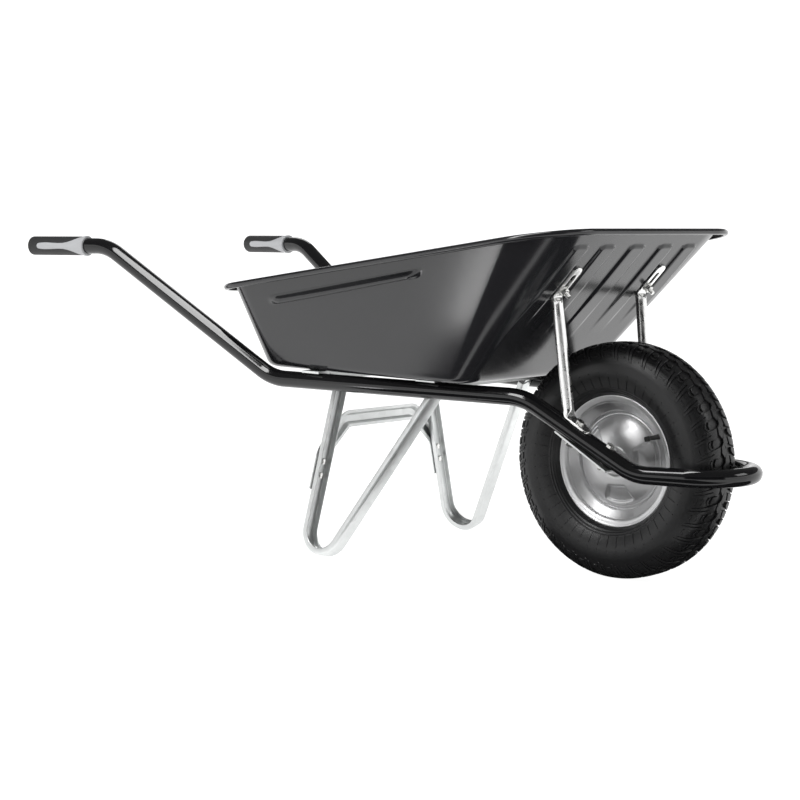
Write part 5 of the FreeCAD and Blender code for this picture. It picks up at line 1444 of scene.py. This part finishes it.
# ------------------------------------------------------------------ stage
def soft_box(name, place, aim, width, height, power):
    light = bpy.data.lights.new(name, "AREA")
    light.shape = "RECTANGLE"
    light.size, light.size_y = width, height
    light.energy = power
    obj = bpy.data.objects.new(name, light)
    obj.location = place
    obj.rotation_euler = (Vector(aim) - Vector(place)).to_track_quat("-Z", "Y").to_euler()
    obj.visible_camera = False
    bpy.context.scene.collection.objects.link(obj)
    return obj


def dark_card(name, line, low, high):
    """Black card that only glossy reflections meet, standing along a line."""
    build = Builder()
    build.skin([[p + Vector((0, 0, low)) for p in line], [p + Vector((0, 0, high)) for p in line]], False,
               False)
    return hide_from_view(build.piece(name, 60.0))


def floor_card(name, corners, height):
    """Black card lying just over the floor that only glossy reflections meet. Left black it is painted shadow of
    the floor under the barrow; the cards that make_stage makes glow are a painted reflection and a painted
    highlight.
    """
    build = Builder()
    ring = build.ring([Vector((x, y, height)) for x, y in corners])
    build.faces.append(tuple(ring))
    return hide_from_view(build.piece(name, 60.0))


def hide_from_view(card):
    material, tree, shader = new_material(card.name)
    coords = tree.nodes.new("ShaderNodeTexCoord").outputs["Object"]
    # Near-black tone of the reflection-only cards; on the floor cards under the barrow it is painted shadow.
    tone = mix_colour(tree, noise(tree, coords, 2.0), (0.004, 0.004, 0.004, 1), (0.012, 0.012, 0.012, 1))
    tree.links.new(tone, shader.inputs["Base Color"])
    shader.inputs["Roughness"].default_value = 1.0
    card.data.materials.append(material)
    card.visible_camera = False
    card.visible_diffuse = False
    card.visible_shadow = False
    card.visible_transmission = False
    return card


def make_stage(props):
    material, tree, shader = new_material("studio paper")
    coords = tree.nodes.new("ShaderNodeTexCoord").outputs["Object"]
    tone = remap(tree, noise(tree, coords, 3.0, 2.0), 0.3, 0.7, 0.97, 1.0)
    paper = mix_colour(tree, tone, (0.34, 0.34, 0.34, 1), (0.40, 0.40, 0.40, 1))
    tree.links.new(paper, shader.inputs["Base Color"])
    shader.inputs["Roughness"].default_value = 0.9
    shader.inputs["Emission Color"].default_value = (1.0, 1.0, 1.0, 1)
    shader.inputs["Emission Strength"].default_value = props.floor_glow
    build = Builder()
    wall = props.wall_height
    profile = [(0.02, 0.0), (2.0, 0.0), (4.0, 0.0), (PAPER_FLAT, 0.0)]
    profile += [(PAPER_FLAT + PAPER_BEND * math.sin(a), PAPER_BEND - PAPER_BEND * math.cos(a))
                for a in [math.radians(9 * i) for i in range(1, 11)]]
    profile += [(PAPER_FLAT + PAPER_BEND, wall)]
    rings = []
    for r, z in profile:
        rings.append(build.ring([Vector((x, y, z)) for x, y in circle(r, 72)]))
    for first, second in zip(rings, rings[1:]):
        build.bridge(second, first)
    build.faces.append(tuple(rings[0]))
    floor = build.piece("studio-floor", 60.0)
    floor.data.materials.append(material)
    sky = bpy.data.worlds.new("studio")
    sky.use_nodes = True
    sky.node_tree.nodes["Background"].inputs["Color"].default_value = (1, 1, 1, 1)
    sky.node_tree.nodes["Background"].inputs["Strength"].default_value = props.room_light
    scene = bpy.context.scene
    scene.world = sky
    scene.view_settings.view_transform = "Standard"
    soft_box("overhead", (-0.3, -1.5, 2.9), (0, 0, 0.3), 0.7, 4.2, props.overhead)
    soft_box("front left", (3.2, 1.6, 2.2), (0.2, 0, 0.3), 1.6, 1.0, props.side_light)
    soft_box("rear left", (-2.6, 2.6, 2.6), (-0.2, 0, 0.3), 1.6, 1.6, props.side_light)
    middle, half = math.degrees(props.dark_middle), math.degrees(props.dark_half)
    bearings = [math.radians(middle + half * (i / 8 - 1)) for i in range(17)]
    dark_card("dark-wall", [Vector((DARK_WALL_RADIUS * math.cos(a), DARK_WALL_RADIUS * math.sin(a), 0))
                            for a in bearings], 0.0, DARK_WALL_HEIGHT)
    # Painted shadow: black floor cards stand in for the shaded floor under the barrow, seen only in reflections
    # on the tray and tubes.
    floor_card("dark-floor-near",
               [(-0.27, -0.55), (-0.40, -1.15), (0.95, -1.15), (0.95, -0.06), (0.60, -0.24), (0.40, -0.36),
                (-0.14, -0.38)], CARD_LIFT)
    floor_card("dark-floor-far",
               [(0.05, -0.28), (0.40, -0.27), (0.60, -0.16), (0.95, 0.02), (0.95, 0.30), (0.30, 0.10)],
               CARD_LIFT)
    # Painted reflection: a glowing floor card, no lamp, stands in for the bright floor seen in the tray's front
    # wall.
    bright = floor_card("light-floor",
                        [(0.10, 0.42), (0.30, 0.42), (0.60, 0.80), (0.95, 1.2), (0.95, 1.9), (0.1, 1.9)],
                        CARD_LIFT)
    # Painted highlight: a glowing strip, no lamp, stands in for the bright streak reflected in the tray's corner.
    strip = floor_card("light-strip", [(-0.50, -1.15), (-0.42, -1.15), (-0.29, -0.78), (-0.34, -0.78)],
                       STRIP_LIFT)
    # Both glowing cards are painted light: the strip a painted highlight, the floor card a painted reflection.
    for card, strength in ((strip, props.painted_highlight_glow), (bright, props.painted_reflection_glow)):
        glow = card.data.materials[0].node_tree.nodes["Principled BSDF"]
        glow.inputs["Emission Color"].default_value = (1.0, 1.0, 1.0, 1)
        glow.inputs["Emission Strength"].default_value = strength
    camera = bpy.data.cameras.new("camera")
    camera.sensor_width = 36.0
    camera.lens = props.lens
    camera.clip_end = 60.0
    eye = bpy.data.objects.new("camera", camera)
    eye.location = EYE_PLACE
    eye.rotation_euler = (math.radians(90 - EYE_DROP), 0, math.radians(EYE_BEARING))
    scene.collection.objects.link(eye)
    scene.camera = eye


# ------------------------------------------------------------------ settings
def length(name, text, value, low=0.0, high=2.0):
    return FloatProperty(name=name, description=text, default=value, min=low, max=high, precision=4,
                         subtype="DISTANCE", unit="LENGTH")


class BARROW_PG_tube(bpy.types.PropertyGroup):
    radius: length("Tube radius", "Outside radius of the bent frame tube", TUBE * MM, 0.005, 0.03)


class BARROW_PG_tray(bpy.types.PropertyGroup):
    rib_top: length("Front rib top", "Distance of the front ribs below the rim", 0.030)
    rib_length: length("Front rib end", "Distance below the rim where the front ribs run out", 0.262)
    rib_depth: length("Front rib depth", "How far the front ribs stand out", 0.004, 0.0, 0.02)
    side_drop: length("Side rib top", "Distance of the side rib below the rim", 0.0295)
    side_width: length("Side rib width", "Width of the side rib down the wall", 0.0185, 0.002, 0.1)
    side_depth: length("Side rib depth", "How far the side rib stands out", 0.007, 0.0, 0.02)
    floor_radius: length("Floor radius", "Bend between the floor and the walls", 0.013, 0.002, 0.05)
    roll: length("Rim roll", "Radius of the rolled edge", 0.004, 0.001, 0.01)
    flange: length("Rim flange", "Width of the flat rim", 0.021, 0.01, 0.05)


class BARROW_PG_leg(bpy.types.PropertyGroup):
    bend: length("Foot bend", "Radius of the bend at the ground", 0.041, 0.02, 0.1)
    width: length("Channel width", "Width of the leg channel", 0.029, 0.01, 0.05)
    depth: length("Channel depth", "Depth of the leg channel", 0.012, 0.005, 0.03)
    sheet: length("Sheet", "Thickness of the leg sheet", 0.0025, 0.001, 0.005)


class BARROW_PG_brace(bpy.types.PropertyGroup):
    height: length("Arch height", "Height of the brace's middle above the ground", 0.240)
    level_half: length("Arch half width", "Half width of the brace's level part", 0.094)
    width: length("Band width", "Width of the brace's band", 0.031, 0.01, 0.06)
    sheet: length("Sheet", "Thickness of the brace sheet", 0.0025, 0.001, 0.005)
    crown: length("Crown", "Height of the pressed crown", 0.007, 0.0, 0.02)


class BARROW_PG_stay(bpy.types.PropertyGroup):
    plate: length("End plate", "Thickness of the flattened ends", PLATE * MM, 0.001, 0.01)
    plate_width: length("End width", "Width of the flattened ends", 0.024, 0.01, 0.05)
    radius: length("Stay radius", "Outside radius of the stay", 0.0095, 0.003, 0.02)


class BARROW_PG_fasteners(bpy.types.PropertyGroup):
    head_width: length("Spanner size", "Distance across the flats of the larger bolts", 0.013, 0.005, 0.03)
    head_height: length("Head height", "Height of the larger bolt heads", 0.0053, 0.002, 0.01)
    nut_height: length("Nut height", "Height of the larger nuts", 0.0065, 0.002, 0.015)


class BARROW_PG_tyre(bpy.types.PropertyGroup):
    pitches: IntProperty(name="Tread pitches", description="Blocks around the tyre on each side",
                         default=40, min=12, max=80)
    side_lines: IntProperty(name="Side lines", description="Fine moulding lines around each side wall",
                            default=48, min=0, max=120)


class BARROW_PG_rim(bpy.types.PropertyGroup):
    pocket_depth: length("Pocket depth", "Depth of the pressed pockets in the dome", 0.006, 0.0, 0.02)


class BARROW_PG_valve(bpy.types.PropertyGroup):
    reach: length("Valve reach", "Length of the valve above the rim", 0.0266, 0.01, 0.06)
    radius: length("Valve radius", "Radius of the valve stem", 0.004, 0.002, 0.01)


def colour(name, text, value):
    return FloatVectorProperty(name=name, description=text, default=value, size=3, min=0.0, max=1.0,
                               subtype="COLOR")


class BARROW_PG_finish(bpy.types.PropertyGroup):
    frame_paint: colour("Frame paint", "Colour of the bent tube", (0.004, 0.004, 0.0045))
    tray_paint: colour("Tray paint", "Colour of the tray", (0.010, 0.0102, 0.0115))
    grip_rubber: colour("Grip rubber", "Colour of the handle covers", (0.010, 0.010, 0.0105))
    grip_sleeve: colour("Grip sleeve", "Colour of the sleeves ahead of the covers", (0.36, 0.365, 0.375))
    tyre_rubber: colour("Tyre rubber", "Colour of the tyre", (0.008, 0.008, 0.0085))
    zinc: colour("Zinc", "Colour of the legs, brace and brackets", (0.73, 0.745, 0.74))
    bolt_zinc: colour("Bolt zinc", "Colour of the bolts and nuts", (0.80, 0.80, 0.78))
    stay_zinc: colour("Stay zinc", "Colour of the stays", (0.90, 0.90, 0.89))
    rim_zinc: colour("Rim zinc", "Colour of the rim", (0.70, 0.70, 0.705))


class BARROW_PG_stage(bpy.types.PropertyGroup):
    floor_glow: FloatProperty(name="Floor glow", description="Light given off by the paper floor",
                              default=0.95, min=0.0, max=5.0)
    wall_height: length("Paper wall", "Height of the paper wall around the floor", 2.3, 1.2, 6.0)
    room_light: FloatProperty(name="Room light", description="Even light of the room", default=0.12,
                              min=0.0, max=5.0)
    overhead: FloatProperty(name="Overhead light", description="Power of the overhead soft light",
                            default=110.0, min=0.0, max=5000.0, unit="POWER")
    side_light: FloatProperty(name="Side lights", description="Power of the side soft lights", default=16.0,
                              min=0.0, max=5000.0, unit="POWER")
    dark_middle: FloatProperty(name="Dark wall middle", description="Bearing of the dark wall's middle",
                               default=math.radians(-49), subtype="ANGLE", unit="ROTATION")
    dark_half: FloatProperty(name="Dark wall spread", description="Half of the dark wall's arc",
                             default=math.radians(36), min=0.05, max=3.1, subtype="ANGLE", unit="ROTATION")
    # Painted highlight: glow of the strip seen in the tray's corner.
    painted_highlight_glow: FloatProperty(name="Strip glow",
                              description="Light of the narrow strip seen in the tray's corner",
                              default=9.0, min=0.0, max=50.0)
    # Painted reflection: glow of the floor card seen in the tray's front wall.
    painted_reflection_glow: FloatProperty(name="Far glow", description="Light of the floor seen in the tray's front wall",
                            default=1.5, min=0.0, max=50.0)
    lens: FloatProperty(name="Lens", description="Focal length in millimetres", default=83.46, min=10.0,
                        max=300.0, unit="CAMERA")


class BARROW_PG_all(bpy.types.PropertyGroup):
    tube: PointerProperty(type=BARROW_PG_tube)
    tray: PointerProperty(type=BARROW_PG_tray)
    leg: PointerProperty(type=BARROW_PG_leg)
    brace: PointerProperty(type=BARROW_PG_brace)
    stay: PointerProperty(type=BARROW_PG_stay)
    fasteners: PointerProperty(type=BARROW_PG_fasteners)
    tyre: PointerProperty(type=BARROW_PG_tyre)
    rim: PointerProperty(type=BARROW_PG_rim)
    valve: PointerProperty(type=BARROW_PG_valve)
    finish: PointerProperty(type=BARROW_PG_finish)
    stage: PointerProperty(type=BARROW_PG_stage)


def settings(context):
    return context.scene.barrow


# ------------------------------------------------------------------ operators
class BARROW_OT_stage(bpy.types.Operator):
    """Build the paper floor, the soft lights and the camera"""
    bl_idname = "barrow.stage"
    bl_label = "Stage"

    def execute(self, context):
        make_stage(settings(context).stage)
        return {"FINISHED"}


class BARROW_OT_finishes(bpy.types.Operator):
    """Make the materials and node trees that the pieces use"""
    bl_idname = "barrow.finishes"
    bl_label = "Finishes"

    def execute(self, context):
        make_materials(settings(context).finish)
        TREES["ring"] = ring_tree()
        TREES["seats"] = seat_tree()
        return {"FINISHED"}


class BARROW_OT_frame_tube(bpy.types.Operator):
    """Bend the frame tube from one handle round the nose to the other"""
    bl_idname = "barrow.frame_tube"
    bl_label = "Frame tube"

    def execute(self, context):
        make_frame_tube(settings(context).tube)
        return {"FINISHED"}


class BARROW_OT_tray(bpy.types.Operator):
    """Press the tray with its ribs and rolled rim"""
    bl_idname = "barrow.tray"
    bl_label = "Tray"

    def execute(self, context):
        make_tray(settings(context).tray)
        return {"FINISHED"}


class BARROW_OT_legs(bpy.types.Operator):
    """Form both channel legs and the brace between them"""
    bl_idname = "barrow.legs"
    bl_label = "Legs and brace"

    def execute(self, context):
        for sign, label in ((-1, "right"), (1, "left")):
            make_leg(settings(context).leg, sign, "leg " + label, "leg_" + label)
        make_brace(settings(context).brace)
        return {"FINISHED"}


class BARROW_OT_stays(bpy.types.Operator):
    """Form both stays between the tubes and the tray's front wall"""
    bl_idname = "barrow.stays"
    bl_label = "Stays"

    def execute(self, context):
        for sign, label in ((-1, "right"), (1, "left")):
            make_stay(settings(context).stay, sign, "stay " + label, "stay_" + label)
        return {"FINISHED"}


class BARROW_OT_fasteners(bpy.types.Operator):
    """Set every bolt, washer and nut on its seat"""
    bl_idname = "barrow.fasteners"
    bl_label = "Bolts and nuts"

    def execute(self, context):
        make_fasteners(settings(context).fasteners)
        return {"FINISHED"}


class BARROW_OT_tyre(bpy.types.Operator):
    """Mould the tyre with its tread and side lines"""
    bl_idname = "barrow.tyre"
    bl_label = "Tyre"

    def execute(self, context):
        make_tyre(settings(context).tyre)
        return {"FINISHED"}


class BARROW_OT_rim(bpy.types.Operator):
    """Press the rim with its domes and fit the valve"""
    bl_idname = "barrow.rim"
    bl_label = "Rim and valve"

    def execute(self, context):
        make_rim(settings(context).rim)
        make_valve(settings(context).valve)
        return {"FINISHED"}


class BARROW_OT_kept(bpy.types.Operator):
    """Give the grips, brackets, members and axle parts their finishes"""
    bl_idname = "barrow.kept"
    bl_label = "Grips, brackets and axle"

    def execute(self, context):
        finish_kept_nodes()
        return {"FINISHED"}


OPERATORS = (BARROW_OT_stage, BARROW_OT_finishes, BARROW_OT_frame_tube, BARROW_OT_tray, BARROW_OT_legs,
             BARROW_OT_stays, BARROW_OT_fasteners, BARROW_OT_tyre, BARROW_OT_rim, BARROW_OT_kept)


class BARROW_PT_panel(bpy.types.Panel):
    """Sidebar panel that lists the steps and their sizes"""
    bl_idname = "BARROW_PT_panel"
    bl_label = "Wheelbarrow"
    bl_space_type = "VIEW_3D"
    bl_region_type = "UI"
    bl_category = "Barrow"

    def draw(self, context):
        groups = settings(context)
        for operator in OPERATORS:
            self.layout.operator(operator.bl_idname)
        for name in ("tube", "tray", "leg", "brace", "stay", "fasteners", "tyre", "rim", "valve", "finish",
                     "stage"):
            box = self.layout.box()
            group = getattr(groups, name)
            for key in group.__annotations__:
                box.prop(group, key)


CLASSES = (BARROW_PG_tube, BARROW_PG_tray, BARROW_PG_leg, BARROW_PG_brace, BARROW_PG_stay,
           BARROW_PG_fasteners, BARROW_PG_tyre, BARROW_PG_rim, BARROW_PG_valve, BARROW_PG_finish,
           BARROW_PG_stage, BARROW_PG_all, *OPERATORS, BARROW_PT_panel)


def register():
    for item in CLASSES:
        bpy.utils.register_class(item)
    bpy.types.Scene.barrow = PointerProperty(type=BARROW_PG_all)


def unregister():
    del bpy.types.Scene.barrow
    for item in reversed(CLASSES):
        bpy.utils.unregister_class(item)


def main():
    register()
    for operator in OPERATORS:
        group, name = operator.bl_idname.split(".")
        getattr(getattr(bpy.ops, group), name)()


if __name__ == "__main__":
    main()
